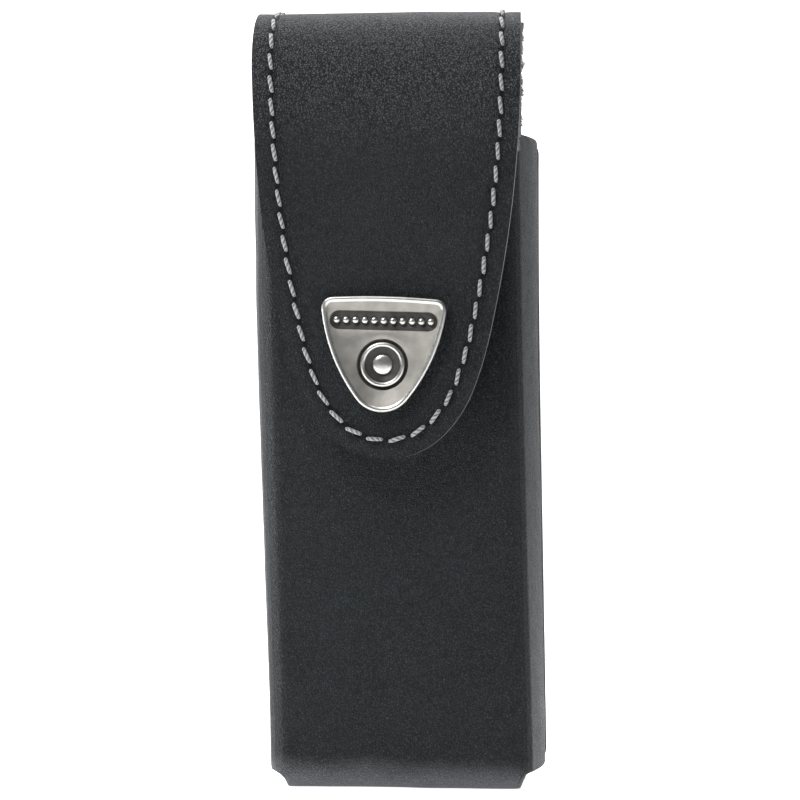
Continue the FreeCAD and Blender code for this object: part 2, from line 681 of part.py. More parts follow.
def badge_clearances():
    """The post holes through the tongue's leather, and the seats of the washers in its back."""
    through = badge_cylinders(BADGE_POST_RADIUS + HOLE_CLEARANCE, TONGUE_FACE - 1.0, LEATHER + 2.0)
    seats = badge_cylinders(WASHER_RADIUS + HOLE_CLEARANCE, TONGUE_INSIDE - COUNTERBORE, COUNTERBORE)
    return Part.makeCompound(through + seats)


# ---------------------------------------------------------------- assembly
def add_back(nodes, back_seam, loop_seams):
    panel_holes = back_seam + [hole for seam in loop_seams.values() for hole in seam]
    nodes["back_panel"] = back_panel(panel_holes)
    nodes["back_lining"] = back_lining(panel_holes)
    nodes["back_seam_needle_thread"] = needle_thread(back_needle_rail(), back_seam)
    nodes["back_seam_bobbin_thread"] = bobbin_thread(back_bobbin_rail(), back_seam)
    nodes["belt_loop"] = belt_loop(panel_holes[len(back_seam):])
    for name, centre in LOOP_SEAM_CENTRES.items():
        outer = belt_loop_rail(centre, BACK_FACE + LOOP_THICKNESS)
        inner = belt_loop_rail(centre, FLANGE_FACE - THREAD_HEIGHT)
        nodes["belt_loop_%s_needle_thread" % name] = needle_thread(outer, loop_seams[name])
        nodes["belt_loop_%s_bobbin_thread" % name] = bobbin_thread(inner, loop_seams[name])


def add_loop_patch(nodes, holes):
    """The loop patch lies on the front and is sewn right through it."""
    size = (LOOP_PATCH_WIDTH, LOOP_PATCH_HEIGHT, LOOP_PATCH_CENTRE)
    nodes["loop_patch"] = patch(*size, LOOP_PATCH_FACE, LOOP_PATCH_FACE, holes)
    outer_y = LOOP_PATCH_FACE + GROOVE_DEPTH - FINE_THREAD - GROOVE_CLEARANCE
    inner_y = FRONT_FACE + LEATHER + GROOVE_CLEARANCE
    half_way = FRONT_FACE + LEATHER / 2
    middle = FINE_THREAD / 2
    outer_reach = half_way - THREAD_END_GAP - outer_y - middle
    inner_reach = inner_y + middle - half_way
    parts = {"needle": (outer_y, outer_y + middle, outer_reach), "bobbin": (inner_y, half_way, inner_reach)}
    for name, (ring_y, leg_y, reach) in parts.items():
        ring = patch_ring(*size, ring_y, FINE_THREAD, FINE_THREAD)
        legs = patch_legs(*size, leg_y, reach, FINE_LEG_RADIUS)
        nodes["loop_patch_%s_thread" % name] = single(ring.multiFuse(legs))


def add_hook_patch(nodes, leg_start, holes):
    """The hook patch is sewn to the tongue's lining before the lining is sewn in."""
    size = (HOOK_PATCH_WIDTH, HOOK_PATCH_HEIGHT, HOOK_PATCH_CENTRE)
    groove_y = LINING_FACE + PATCH_THICKNESS - GROOVE_DEPTH
    ring_y = groove_y + GROOVE_CLEARANCE
    nodes["hook_patch"] = patch(*size, LINING_FACE, groove_y, holes)
    ring = patch_ring(*size, ring_y, FINE_THREAD, FINE_THREAD)
    legs = patch_legs(*size, leg_start, ring_y + FINE_THREAD / 2 - leg_start, FINE_LEG_RADIUS)
    nodes["hook_patch_thread"] = single(ring.multiFuse(legs))


def add_flap(nodes, hook_holes):
    crown_seams = crown_holes()
    tongue_seam = tongue_holes()
    parts = {"crown": (crown_profile, flap_plan, crown_seams[0] + crown_seams[1]),
             "tongue": (tongue_profile, tongue_plan, tongue_seam)}
    for name, (profile, plan, holes) in parts.items():
        nodes[name + "_leather"] = pierce(layer(profile, plan, 0.0, LEATHER), holes)
        nodes[name + "_lining"] = pierce(layer(profile, plan, LEATHER, FLAP_THICKNESS), holes)
        outer = rail(profile, plan, -THREAD_HEIGHT, 0.0)
        inner = rail(profile, plan, FLAP_THICKNESS, FLAP_THICKNESS + THREAD_HEIGHT)
        seams = crown_seams if name == "crown" else [tongue_seam]
        ends = "threads" if name == "crown" else "thread"
        pairs = list(zip(outer.Solids, inner.Solids, seams))
        needle = [needle_thread(top, seam) for top, under, seam in pairs]
        bobbin = [bobbin_thread(under, seam) for top, under, seam in pairs]
        nodes["%s_needle_%s" % (name, ends)] = Part.makeCompound(needle)
        nodes["%s_bobbin_%s" % (name, ends)] = Part.makeCompound(bobbin)
    nodes["tongue_leather"] = single(nodes["tongue_leather"].cut(badge_clearances()))
    nodes["tongue_lining"] = single(nodes["tongue_lining"].cut(hook_holes))


def build():
    nodes = {}
    back_seam = back_holes()
    loop_seams = {name: belt_loop_holes(centre) for name, centre in LOOP_SEAM_CENTRES.items()}
    needle_hole = FINE_LEG_RADIUS + HOLE_CLEARANCE / 2
    loop_patch_holes = Part.makeCompound(patch_legs(
        LOOP_PATCH_WIDTH, LOOP_PATCH_HEIGHT, LOOP_PATCH_CENTRE, LOOP_PATCH_FACE - FINE_THREAD,
        PATCH_THICKNESS + LEATHER + 2 * FINE_THREAD, needle_hole))
    leg_start = LINING_FACE - LINING + 2 * HOLE_CLEARANCE
    hook_patch_holes = Part.makeCompound(patch_legs(
        HOOK_PATCH_WIDTH, HOOK_PATCH_HEIGHT, HOOK_PATCH_CENTRE, leg_start - HOLE_CLEARANCE,
        PATCH_THICKNESS + LINING, needle_hole))

    nodes["front_shell"] = front_shell(back_seam, loop_patch_holes)
    add_back(nodes, back_seam, loop_seams)
    add_loop_patch(nodes, loop_patch_holes)
    add_flap(nodes, hook_patch_holes)
    add_hook_patch(nodes, leg_start, hook_patch_holes)
    nodes["badge_plate"] = badge_plate()
    nodes["badge_washers"] = badge_washers()
    return nodes


def report_places():
    """Prints what the record needs: the bend lines and the clear spaces."""
    bend = tongue_profile(0.0)[-1].end
    print("flap bend line: y %.3f z %.3f" % (BACK_FACE, BEND_HEIGHT))
    print("tongue bend line: y %.3f z %.3f" % bend)
    print("pocket hollow: y %.3f to %.3f" % (FRONT_FACE + LEATHER, FLANGE_INSIDE))
    print("tongue half width %.3f, arch springs at %.3f" % (TONGUE_HALF_WIDTH, CROWN_SPRING))


os.makedirs("parts", exist_ok=True)
for name, shape in build().items():
    shape.exportStep("parts/%s.step" % name)
    box = shape.BoundBox
    print("%-30s solids %2d valid %s volume %9.2f  z %6.2f..%6.2f  y %6.2f..%6.2f" % (
        name, len(shape.Solids), shape.isValid(), shape.Volume, box.ZMin, box.ZMax, box.YMin, box.YMax))
report_places()
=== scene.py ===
# %% [markdown]
# # A belt pouch in folded leather
#
# A real pouch starts as flat leather. The blanks are cut, their edges are trimmed, the seams are
# marked, and only then is the leather folded and sewn. This script works in the same order. Each
# blank is a flat bmesh in millimetres, cut and thickened while it lies flat, and a folding rule
# then carries it to its place. Threads are laid on the flat blank too, so they follow every bend.
#
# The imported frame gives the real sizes. It is loaded first, and nothing in it is moved.

# %% Load the frame
import math
import random

import bmesh
import bpy
import numpy as np
from bmesh.types import BMFace, BMVert
from mathutils import Matrix, Vector, noise


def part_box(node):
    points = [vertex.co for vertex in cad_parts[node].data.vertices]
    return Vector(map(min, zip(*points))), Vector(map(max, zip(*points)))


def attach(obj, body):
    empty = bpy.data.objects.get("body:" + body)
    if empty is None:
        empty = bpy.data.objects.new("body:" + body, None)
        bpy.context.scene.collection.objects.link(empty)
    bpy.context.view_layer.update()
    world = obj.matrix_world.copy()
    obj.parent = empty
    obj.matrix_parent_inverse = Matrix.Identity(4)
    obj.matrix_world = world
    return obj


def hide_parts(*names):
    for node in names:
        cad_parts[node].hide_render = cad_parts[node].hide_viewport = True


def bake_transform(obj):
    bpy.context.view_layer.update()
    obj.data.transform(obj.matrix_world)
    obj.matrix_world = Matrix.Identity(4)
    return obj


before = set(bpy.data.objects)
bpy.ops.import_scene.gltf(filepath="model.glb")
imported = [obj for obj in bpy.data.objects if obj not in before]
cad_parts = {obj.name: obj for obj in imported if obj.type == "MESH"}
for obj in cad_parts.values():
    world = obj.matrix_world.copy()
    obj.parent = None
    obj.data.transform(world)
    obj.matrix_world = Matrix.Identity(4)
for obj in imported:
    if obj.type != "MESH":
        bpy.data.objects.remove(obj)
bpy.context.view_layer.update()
MM = 0.001
random.seed(11)


def size_mm(node):
    """Lowest and highest corner of a node, in millimetres."""
    low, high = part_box(node)
    return np.array(low) / MM, np.array(high) / MM


# %% [markdown]
# ## The studio
#
# The pouch is shown as in a catalogue: straight on, a little from its right, in light that comes
# from all around. A long lens stands well back, so the upright edges stay nearly parallel. The
# floor curves up behind the pouch, so there is no horizon.

# %% Camera
CAMERA_TURN = math.radians(5.0)
CAMERA_DISTANCE = 600 * MM
SENSOR = 36.0
VIEW_WIDTH = 138.1 * MM      # how wide the picture is at the front of the pouch
VIEW_HEIGHT = 67.45 * MM     # eye level, half way up the pouch
VIEW_SIDE = 0.15 * MM

pocket_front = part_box("front_shell")[0].y
lens_axis = Vector((-math.sin(CAMERA_TURN), math.cos(CAMERA_TURN), 0))
lens_right = Vector((math.cos(CAMERA_TURN), math.sin(CAMERA_TURN), 0))
aim = Vector((0, 0, VIEW_HEIGHT)) + lens_right * VIEW_SIDE + lens_axis * (pocket_front * lens_axis.y)

camera_data = bpy.data.cameras.new("studio_camera")
camera_data.sensor_width = SENSOR
camera_data.lens = SENSOR * CAMERA_DISTANCE / VIEW_WIDTH
camera = bpy.data.objects.new("studio_camera", camera_data)
bpy.context.scene.collection.objects.link(camera)
camera.location = aim - lens_axis * CAMERA_DISTANCE
camera.rotation_euler = lens_axis.to_track_quat("-Z", "Y").to_euler()
bpy.context.scene.camera = camera
bpy.context.scene.view_settings.view_transform = "Standard"
print("lens", round(camera_data.lens), "mm")


# %% [markdown]
# A material is a small node tree. One helper adds a node, sets it up and wires its inputs, so
# that the finishes below read as lists of what they are made of.

# %% Node helper
def add(tree, kind, inputs=None, **settings):
    """Adds a node; an input is a number, a colour or another node's output."""
    node = tree.nodes.new(kind)
    for key, value in settings.items():
        setattr(node, key, value)
    for key, value in (inputs or {}).items():
        if isinstance(value, bpy.types.NodeSocket):
            tree.links.new(value, node.inputs[key])
        else:
            node.inputs[key].default_value = value
    return node


def new_finish(name):
    """An empty node material and its principled shader, already wired to the output."""
    material = bpy.data.materials.new(name)
    material.use_nodes = True
    tree = material.node_tree
    tree.nodes.clear()
    shader = add(tree, "ShaderNodeBsdfPrincipled")
    add(tree, "ShaderNodeOutputMaterial", {"Surface": shader.outputs["BSDF"]})
    return material, tree, shader


def wire(tree, shader, even=None, **varying):
    """Links what varies over the surface, and sets what is even."""
    for key, value in varying.items():
        tree.links.new(value, shader.inputs[key.replace("_", " ")])
    for key, value in (even or {}).items():
        shader.inputs[key].default_value = value


def combine(tree, operation, first, second=0.0, third=0.0):
    """One arithmetic step between two or three values."""
    return add(tree, "ShaderNodeMath", {0: first, 1: second, 2: third}, operation=operation).outputs[0]


def fade(tree, value, low, high, out_low=0.0, out_high=1.0):
    """A smooth step of a value from one range to another."""
    inputs = {"Value": value, "From Min": low, "From Max": high, "To Min": out_low, "To Max": out_high}
    return add(tree, "ShaderNodeMapRange", inputs, interpolation_type="SMOOTHSTEP").outputs["Result"]


def blend_colour(tree, share, first, second):
    node = add(tree, "ShaderNodeMix", data_type="RGBA")
    for key, value in (("Factor", share), ("A", first), ("B", second)):
        sockets = [s for s in node.inputs if s.name == key and (s.type == "RGBA") == (key != "Factor")]
        socket = next(s for s in sockets if s.enabled)
        if isinstance(value, bpy.types.NodeSocket):
            tree.links.new(value, socket)
        else:
            socket.default_value = value
    return next(s for s in node.outputs if s.type == "RGBA")


def place_in_mm(tree):
    """The point on the piece, in millimetres."""
    spot = add(tree, "ShaderNodeTexCoord").outputs["Object"]
    scaled = add(tree, "ShaderNodeVectorMath", {0: spot, 1: (1 / MM, 1 / MM, 1 / MM)}, operation="MULTIPLY")
    return scaled.outputs[0]


def speckle(tree, spot, scale, detail=2.0, roughness=0.5):
    inputs = {"Vector": spot, "Scale": scale, "Detail": detail, "Roughness": roughness}
    return add(tree, "ShaderNodeTexNoise", inputs).outputs[0]


def bump(tree, height, depth_mm, below=None):
    """A bump of a height from 0 to 1 that stands for a depth in millimetres."""
    inputs = {"Height": height, "Distance": depth_mm * MM, "Strength": 1.0}
    if below is not None:
        inputs["Normal"] = below
    return add(tree, "ShaderNodeBump", inputs).outputs["Normal"]


# %% [markdown]
# ## Leather
#
# The outer leather is dyed and lightly embossed. Seen close, its face is a net of fine creases
# round small islands, less than a millimetre across. A Voronoi texture gives the creases and a
# noise bends them, so they don't look like tiles. The islands' tops are painted paler and the
# creases stay near black: partly worn dye, partly painted glints on the tops and painted shade in
# the creases. Larger, fainter noise varies the dye and the polish. A paler grey is painted in two
# more places: along the bottom fold, as a painted reflection of the white floor, and over the
# crown's top, as a painted highlight. Where a seam runs, two numbers stored on the mesh say how
# far a point is from the seam line and how many stitches along it the point lies. They draw the
# pressed groove and the needle holes, exactly where the threads dive in, and both are painted
# darker as painted shade.

# %% Leather finish
SEAM_OFF = "seam_off"
SEAM_RUN = "seam_run"
FAR_FROM_SEAM = 99.0
LEATHER_BLACK = (0.0012, 0.0016, 0.0022, 1)
# worn dye, which is also used for the painted glints on the grain's tops
LEATHER_WORN_AND_GLINT = (0.029, 0.040, 0.049, 1)
# a paler grey painted on the bottom fold as a reflection and over the crown as a highlight
LEATHER_PAINTED_SHEEN = (0.15, 0.153, 0.168, 1)
# painted shade for the seam's groove and needle holes
HOLE_AND_GROOVE_SHADE = (0.002, 0.002, 0.002, 1)
LEATHER_IOR = 1.3            # a matt dressing, which mirrors less than varnish
GRAIN_SCALE = 2.5
GRAIN_DEPTH = 0.6
NEEDLE_ACROSS = 0.42         # half the width of a needle hole, in millimetres
NEEDLE_ALONG = 0.15          # half its length, in stitches
FLOOR_REFLECTION_HEIGHT = 6.5          # the bottom fold gets a painted reflection of the floor up to here
CROWN_HIGHLIGHT_FROM = 106.0      # the grain's tops get a painted highlight from here
CROWN_HIGHLIGHT_TO = 126.0        # to here, over the crown's top
# how much paler the painted highlight makes the crown's grain
CROWN_HIGHLIGHT = 0.36


def leather_finish(name, sewn):
    material, tree, shader = new_finish(name)
    spot = place_in_mm(tree)
    sway = add(tree, "ShaderNodeTexNoise", {"Vector": spot, "Scale": 0.9, "Detail": 2.0}).outputs["Color"]
    bent = add(tree, "ShaderNodeVectorMath", {0: sway, 1: (0.9, 0.9, 0.9), 2: spot},
               operation="MULTIPLY_ADD")
    cells = add(tree, "ShaderNodeTexVoronoi", {"Vector": bent.outputs[0], "Scale": GRAIN_SCALE},
                feature="DISTANCE_TO_EDGE").outputs["Distance"]
    islands = fade(tree, cells, 0.0, 0.22)
    fine = speckle(tree, spot, 3.4, 2.0, 0.6)
    broad = speckle(tree, spot, 0.06, 3.0)
    patchy = speckle(tree, spot, 0.5, 2.0)
    grain = combine(tree, "MULTIPLY_ADD", islands, 0.45, combine(tree, "MULTIPLY", fine, 0.9))
    up = add(tree, "ShaderNodeSeparateXYZ", {"Vector": spot}).outputs["Z"]
    colour = blend_colour(tree, fade(tree, broad, 0.3, 0.75, 0.0, 0.08), LEATHER_BLACK, LEATHER_WORN_AND_GLINT)
    # The grain's island tops are painted paler and its creases stay near black: partly worn dye, partly
    # painted glints on the tops and painted shade in the creases.
    colour = blend_colour(tree, fade(tree, grain, 0.76, 0.96, 0.0, 0.75), colour, LEATHER_WORN_AND_GLINT)
    # Painted reflection: the bottom fold, which mirrors the white floor, is painted paler towards its lower
    # edge.
    floor_reflection = fade(tree, combine(tree, "MULTIPLY_ADD", broad, 4.0, up), 3.0, FLOOR_REFLECTION_HEIGHT + 2.0, 0.85, 0.0)
    floor_reflection = combine(tree, "MULTIPLY", floor_reflection, fade(tree, grain, 0.4, 0.9, 0.6, 1.0))
    colour = blend_colour(tree, floor_reflection, colour, LEATHER_PAINTED_SHEEN)
    # Painted highlight: the grain's tops over the crown, which catch the light at a grazing angle, are
    # painted paler.
    crown_glint = combine(tree, "MULTIPLY", fade(tree, up, CROWN_HIGHLIGHT_FROM, CROWN_HIGHLIGHT_TO, 0.0, CROWN_HIGHLIGHT),
                      fade(tree, grain, 0.7, 0.9))
    colour = blend_colour(tree, crown_glint, colour, LEATHER_PAINTED_SHEEN)
    roughness = combine(tree, "MULTIPLY_ADD", patchy, 0.16, 0.32)
    roughness = combine(tree, "MULTIPLY_ADD", fine, 0.14, roughness)
    normal = bump(tree, grain, GRAIN_DEPTH)
    if sewn:
        off = add(tree, "ShaderNodeAttribute", attribute_name=SEAM_OFF).outputs["Fac"]
        run = add(tree, "ShaderNodeAttribute", attribute_name=SEAM_RUN).outputs["Fac"]
        side = combine(tree, "DIVIDE", off, NEEDLE_ACROSS)
        step = combine(tree, "SUBTRACT", combine(tree, "FRACT", combine(tree, "ADD", run, 0.5)), 0.5)
        reach = combine(tree, "DIVIDE", step, NEEDLE_ALONG)
        spread = combine(tree, "ADD", combine(tree, "MULTIPLY", side, side),
                         combine(tree, "MULTIPLY", reach, reach))
        hole = fade(tree, spread, 0.6, 1.3, 1.0, 0.0)
        # Painted shade: the seam's pressed groove and its needle holes are painted darker.
        groove = fade(tree, combine(tree, "ABSOLUTE", off), 0.15, 0.75, 1.0, 0.0)
        colour = blend_colour(tree, combine(tree, "MULTIPLY", groove, 0.45), colour, HOLE_AND_GROOVE_SHADE)
        colour = blend_colour(tree, hole, colour, HOLE_AND_GROOVE_SHADE)
        roughness = combine(tree, "MULTIPLY_ADD", groove, 0.15, roughness)
        normal = bump(tree, combine(tree, "SUBTRACT", 1.0, hole), 0.5, normal)
    wire(tree, shader, {"IOR": LEATHER_IOR}, Base_Color=colour, Roughness=roughness, Normal=normal)
    return material


def raw_finish(name, dark, light, fibre_scale, depth_mm, sheen):
    """Bare leather fibre: a cut edge, the flesh side or a suede lining."""
    material, tree, shader = new_finish(name)
    spot = place_in_mm(tree)
    fibres = speckle(tree, spot, fibre_scale, 5.0, 0.7)
    tufts = speckle(tree, spot, 0.35, 3.0)
    shade = combine(tree, "MULTIPLY_ADD", tufts, 0.5, combine(tree, "MULTIPLY", fibres, 0.6))
    colour = blend_colour(tree, fade(tree, shade, 0.35, 0.75), dark, light)
    wire(tree, shader, {"Sheen Weight": sheen, "Sheen Roughness": 0.5}, Base_Color=colour,
         Roughness=fade(tree, fibres, 0.3, 0.7, 0.95, 0.8), Normal=bump(tree, shade, depth_mm))
    return material


sewn_leather = leather_finish("black_leather_sewn", True)
plain_leather = leather_finish("black_leather", False)
cut_edge = raw_finish("leather_cut_edge", (0.035, 0.035, 0.036, 1), (0.14, 0.137, 0.133, 1),
                      3.0, 0.08, 0.1)
flesh_side = raw_finish("leather_flesh_side", (0.02, 0.02, 0.021, 1), (0.06, 0.058, 0.055, 1),
                        2.2, 0.12, 0.3)
suede = raw_finish("suede", (0.16, 0.155, 0.145, 1), (0.42, 0.41, 0.385, 1), 1.8, 0.15, 0.5)
SEWN = [sewn_leather, cut_edge, flesh_side]
PLAIN = [plain_leather, cut_edge, flesh_side]
print("leather finishes:", [finish.name for finish in SEWN + PLAIN[:1] + [suede]])

# %% [markdown]
# ## Lines to fold along
#
# A blank is folded along a profile, which is made of straight runs and arcs. Walking it in small
# steps gives a table of distance, place and heading, and any distance can then be looked up.

# %% Trace a profile
TRACE_STEP = 0.25


def trace(start, heading, moves):
    """Follows straight runs (a length) and arcs (a radius and a turn in degrees)."""
    spots = [(0.0, start[0], start[1], math.radians(heading))]
    for move in moves:
        radius, turn = move if isinstance(move, tuple) else (1.0, 0.0)
        turn = math.radians(turn)
        length = abs(radius * turn) if turn else move
        count = max(1, math.ceil(length / TRACE_STEP))
        part = turn / count
        chord = 2 * radius * math.sin(abs(part) / 2) if turn else length / count
        for _ in range(count):
            gone, x, y, angle = spots[-1]
            middle = angle + part / 2
            spots.append((gone + length / count, x + chord * math.cos(middle),
                          y + chord * math.sin(middle), angle + part))
    return np.array(spots).T


def look_up(path, distance):
    """Place and heading at distances along a traced path."""
    return [np.interp(distance, path[0], path[row]) for row in (1, 2, 3)]


# %% [markdown]
# The strap is the long blank of the pouch. It is the back panel, runs up past the mouth, over
# the crown and down the front as the tongue. Its profile is seen from the side.

# %% The strap's side profile
LEATHER = 1.8
LINING = 1.0
SHOULDER_RADIUS = 10.5
SHOULDER_TURN = 82.0

panel_low, panel_high = size_mm("back_panel")
tongue_low, tongue_high = size_mm("tongue_leather")
shell_low, shell_high = size_mm("front_shell")
BACK = panel_high[1]
FRONT = tongue_low[1]
STRAP_BASE = panel_low[2]
MOUTH = shell_high[2]
BEND = panel_high[2]
TIP = tongue_low[2]
TOP = size_mm("crown_leather")[1][2]

shoulder = math.radians(SHOULDER_TURN)
top_span = BACK - FRONT - 2 * SHOULDER_RADIUS * (1 - math.cos(shoulder))
TOP_RADIUS = top_span / (2 * math.cos(shoulder))
SPRING = TOP - SHOULDER_RADIUS * math.sin(shoulder) - TOP_RADIUS * (1 - math.sin(shoulder))
strap_profile = trace((BACK, STRAP_BASE), 90.0, [
    SPRING - STRAP_BASE, (SHOULDER_RADIUS, SHOULDER_TURN), (TOP_RADIUS, 180 - 2 * SHOULDER_TURN),
    (SHOULDER_RADIUS, SHOULDER_TURN), SPRING - TIP])
STRAP_LENGTH = strap_profile[0][-1]
FRONT_SPRING = STRAP_LENGTH - (SPRING - TIP)
NECK_LINE = BEND - STRAP_BASE
CROWN_MIDDLE = FRONT_SPRING - shoulder * SHOULDER_RADIUS - (math.pi / 2 - shoulder) * TOP_RADIUS
print("strap", round(STRAP_LENGTH, 1), "mm long, its crown's middle at", round(CROWN_MIDDLE, 1))

# %% [markdown]
# No hand-made pouch is quite straight. The pocket leans over by a degree and a half, while the
# tongue hangs upright in front of it. The leather also waves gently, a fraction of a millimetre.

# %% Lean and waves
POCKET_LEAN = 0.0283
POCKET_PIVOT = 61.5
POCKET_CURL = 0.0002         # above the pivot the lean eases off with the square of the height
TONGUE_SHIFT = -0.63
FLAP_SHRINK = 0.015          # leather draws in a little where it is bent and sewn
WAVE_LONG = 24.0
WAVE_SHORT = 7.0
STRAP_WAVE = 0.22
CALM_BASE = 4.0              # the strap lies flat on the flange at its base
CALM_REACH = 20.0


def pocket_lean(z):
    return POCKET_LEAN * (POCKET_PIVOT - z) + POCKET_CURL * np.maximum(z - POCKET_PIVOT, 0) ** 2


def ease(share):
    """A share from 0 to 1 that starts and ends gently."""
    share = np.clip(share, 0, 1)
    return share * share * (3 - 2 * share)


def waves(first, second, amount, seed=0.0):
    """A gentle uneven height for points on a flat blank."""
    shift = Vector((seed, 3.1, 7.7))
    spots = [Vector((a, b, 0)) for a, b in zip(first, second)]
    return amount * np.array([noise.noise(spot / WAVE_LONG + shift)
                              + 0.35 * noise.noise(spot / WAVE_SHORT + shift) for spot in spots])


def stand_off(x, y, z, height, heading):
    """Points at a height above a profile, square to it."""
    return np.stack([x, y + height * np.sin(heading), z - height * np.cos(heading)], 1)


def fold_strap(spots):
    """Carries (across, along, height) on the flat strap to its place on the pouch."""
    across, along, height = spots.T
    y, z, heading = look_up(strap_profile, along)
    calm = np.clip((along - CALM_BASE) / CALM_REACH, 0, 1)
    height = height + waves(across, along, STRAP_WAVE) * calm
    share = ease((along - BEND) / (2 * (CROWN_MIDDLE - BEND)))
    lean = (1 - share) * pocket_lean(np.minimum(z, BEND)) + share * TONGUE_SHIFT
    return stand_off(across * (1 - FLAP_SHRINK * share) + lean, y, z, height, heading)


# %% [markdown]
# ## Flat blanks
#
# A blank starts as a grid. Its vertices are laid out between the curves of its outline, so the
# grid's own border becomes the cut edge and every cell stays regular. The sheet is extruded to
# the leather's thickness, the extruded rim gets the cut-edge finish, and a small bevel rounds it
# as an edge tool would.

# %% Blank helpers
OUTER, EDGE, INNER = 0, 1, 2


def grid(columns, rows):
    """A flat unit grid, from -1 to 1 both ways."""
    bm = bmesh.new()
    bmesh.ops.create_grid(bm, x_segments=columns, y_segments=rows, size=1.0)
    return bm


def only(kind, made):
    """The vertices or the faces among what an operator made."""
    return [part for part in made["geom"] if isinstance(part, kind)]


def stamp(bm, mesh, place):
    """Adds a copy of a small mesh at a place."""
    start = len(bm.verts)
    bm.from_mesh(mesh)
    bm.verts.ensure_lookup_table()
    bmesh.ops.transform(bm, matrix=place, verts=bm.verts[start:])


def reshape(bm, change):
    """Moves all vertices at once: change takes and returns an array of places."""
    moved = change(np.array([vert.co for vert in bm.verts]))
    for vert, place in zip(bm.verts, moved):
        vert.co = place


def even_points(curve, count):
    """Points evenly spaced along a polyline."""
    gone = np.concatenate([[0], np.cumsum(np.linalg.norm(np.diff(curve, axis=0), axis=1))])
    at = np.linspace(0, gone[-1], count + 1)
    return np.stack([np.interp(at, gone, curve[:, axis]) for axis in (0, 1)], 1)


def lay_out(bm, base, side, head, columns, rows):
    """Lays a unit grid between a base, a right side with its mirror image and a head."""
    base, side, head = even_points(base, columns), even_points(side, rows), even_points(head, columns)
    mirror = side * (-1, 1)

    def change(spots):
        column = np.rint((spots[:, 0] + 1) / 2 * columns).astype(int)
        row = np.rint((spots[:, 1] + 1) / 2 * rows).astype(int)
        u, v = (column / columns)[:, None], (row / rows)[:, None]
        ruled = (1 - v) * base[column] + v * head[column] + (1 - u) * mirror[row] + u * side[row]
        corners = ((1 - v) * ((1 - u) * base[0] + u * base[-1]) + v * ((1 - u) * head[0] + u * head[-1]))
        return np.concatenate([ruled - corners, np.zeros((len(spots), 1))], 1)

    reshape(bm, change)


def thicken(bm, thickness):
    """Extrudes a flat sheet downwards and gives its rim the cut-edge finish."""
    under = only(BMVert, bmesh.ops.extrude_face_region(bm, geom=bm.faces[:]))
    bmesh.ops.translate(bm, verts=under, vec=(0, 0, -thickness))
    bmesh.ops.recalc_face_normals(bm, faces=bm.faces[:])
    bm.normal_update()
    for face in bm.faces:
        face.smooth = True
        face.material_index = EDGE if abs(face.normal.z) < 0.5 else (OUTER if face.normal.z > 0 else INNER)


def round_rim(bm, amount, segments=2, join=math.inf):
    """Bevels both corners of the cut edge. A join, at this far end of the sheet, stays square."""
    rim = [edge for edge in bm.edges
           if len({face.material_index for face in edge.link_faces}) == 2
           and any(face.material_index == EDGE for face in edge.link_faces)]
    square = [edge for edge in rim if all(vert.co.y > join - 0.01 for vert in edge.verts)]
    for edge in square:
        edge.smooth = False
    bmesh.ops.bevel(bm, geom=[edge for edge in rim if edge not in square], offset=amount,
                    offset_type="OFFSET", segments=segments, affect="EDGES", profile=0.5, material=-1)


def to_mesh(bm, name):
    mesh = bpy.data.meshes.new(name)
    bm.to_mesh(mesh)
    bm.free()
    return mesh


def finish_piece(bm, name, finishes, slot_name=None, carry=None, *stands_for):
    """Makes the object in metres, at the origin, hands it to its carrier and hides the frame's parts that it
    stands for.
    """
    # This still goes by the face normals of before the fold, so many folded pieces end inside out.
    bmesh.ops.recalc_face_normals(bm, faces=bm.faces[:])
    bmesh.ops.scale(bm, vec=(MM, MM, MM), verts=bm.verts)
    mesh = to_mesh(bm, name)
    for finish in finishes:
        mesh.materials.append(finish)
    piece = bpy.data.objects.new(name, mesh)
    bpy.context.scene.collection.objects.link(piece)
    if carry:
        carry(piece)
    if stands_for:
        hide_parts(*stands_for)
    print(name, len(mesh.polygons), "faces")
    return piece


# %% [markdown]
# ## The strap's outline
#
# Half of each outline is enough, because the blank is cut on the fold. The tongue's tip is a
# chain of arcs that open out from tight to nearly straight. Above it, the strap narrows evenly
# over the crown to the neck, widens again in two small curves to the back panel's shoulders, and
# runs down to the rounded base corners.

# %% Outlines
TONGUE_ARCS = [(14.5, 45.0), (22.0, 23.0), (60.0, 9.0), (217.0, 13.0)]
TONGUE_WIDTH = tongue_high[0]
NECK_WIDTH = 21.8
BASE_WIDTH = 23.8
MOUTH_WIDTH = panel_high[0]
BASE_CORNER = 5.0
PANEL_SHOULDER = 1.5


def tongue_outline(inset):
    """Right half of the tongue from its tip, up to the front bend, in (across, along)."""
    arcs = [(radius - inset, turn) for radius, turn in TONGUE_ARCS]
    _, x, z, _ = trace((0.0, TIP + inset), 0.0, arcs)
    keep = z < SPRING
    return np.stack([x[keep], STRAP_LENGTH - (z[keep] - TIP)], 1)


def crown_side(inset, start, stop, count=60):
    """The right edge over the crown, between two distances along the strap."""
    along = np.linspace(start, stop, count)
    y, _, _ = look_up(strap_profile, along)
    share = (y - FRONT) / (BACK - FRONT)
    half = TONGUE_WIDTH + share * (NECK_WIDTH - TONGUE_WIDTH) - inset
    return np.stack([half, along], 1)


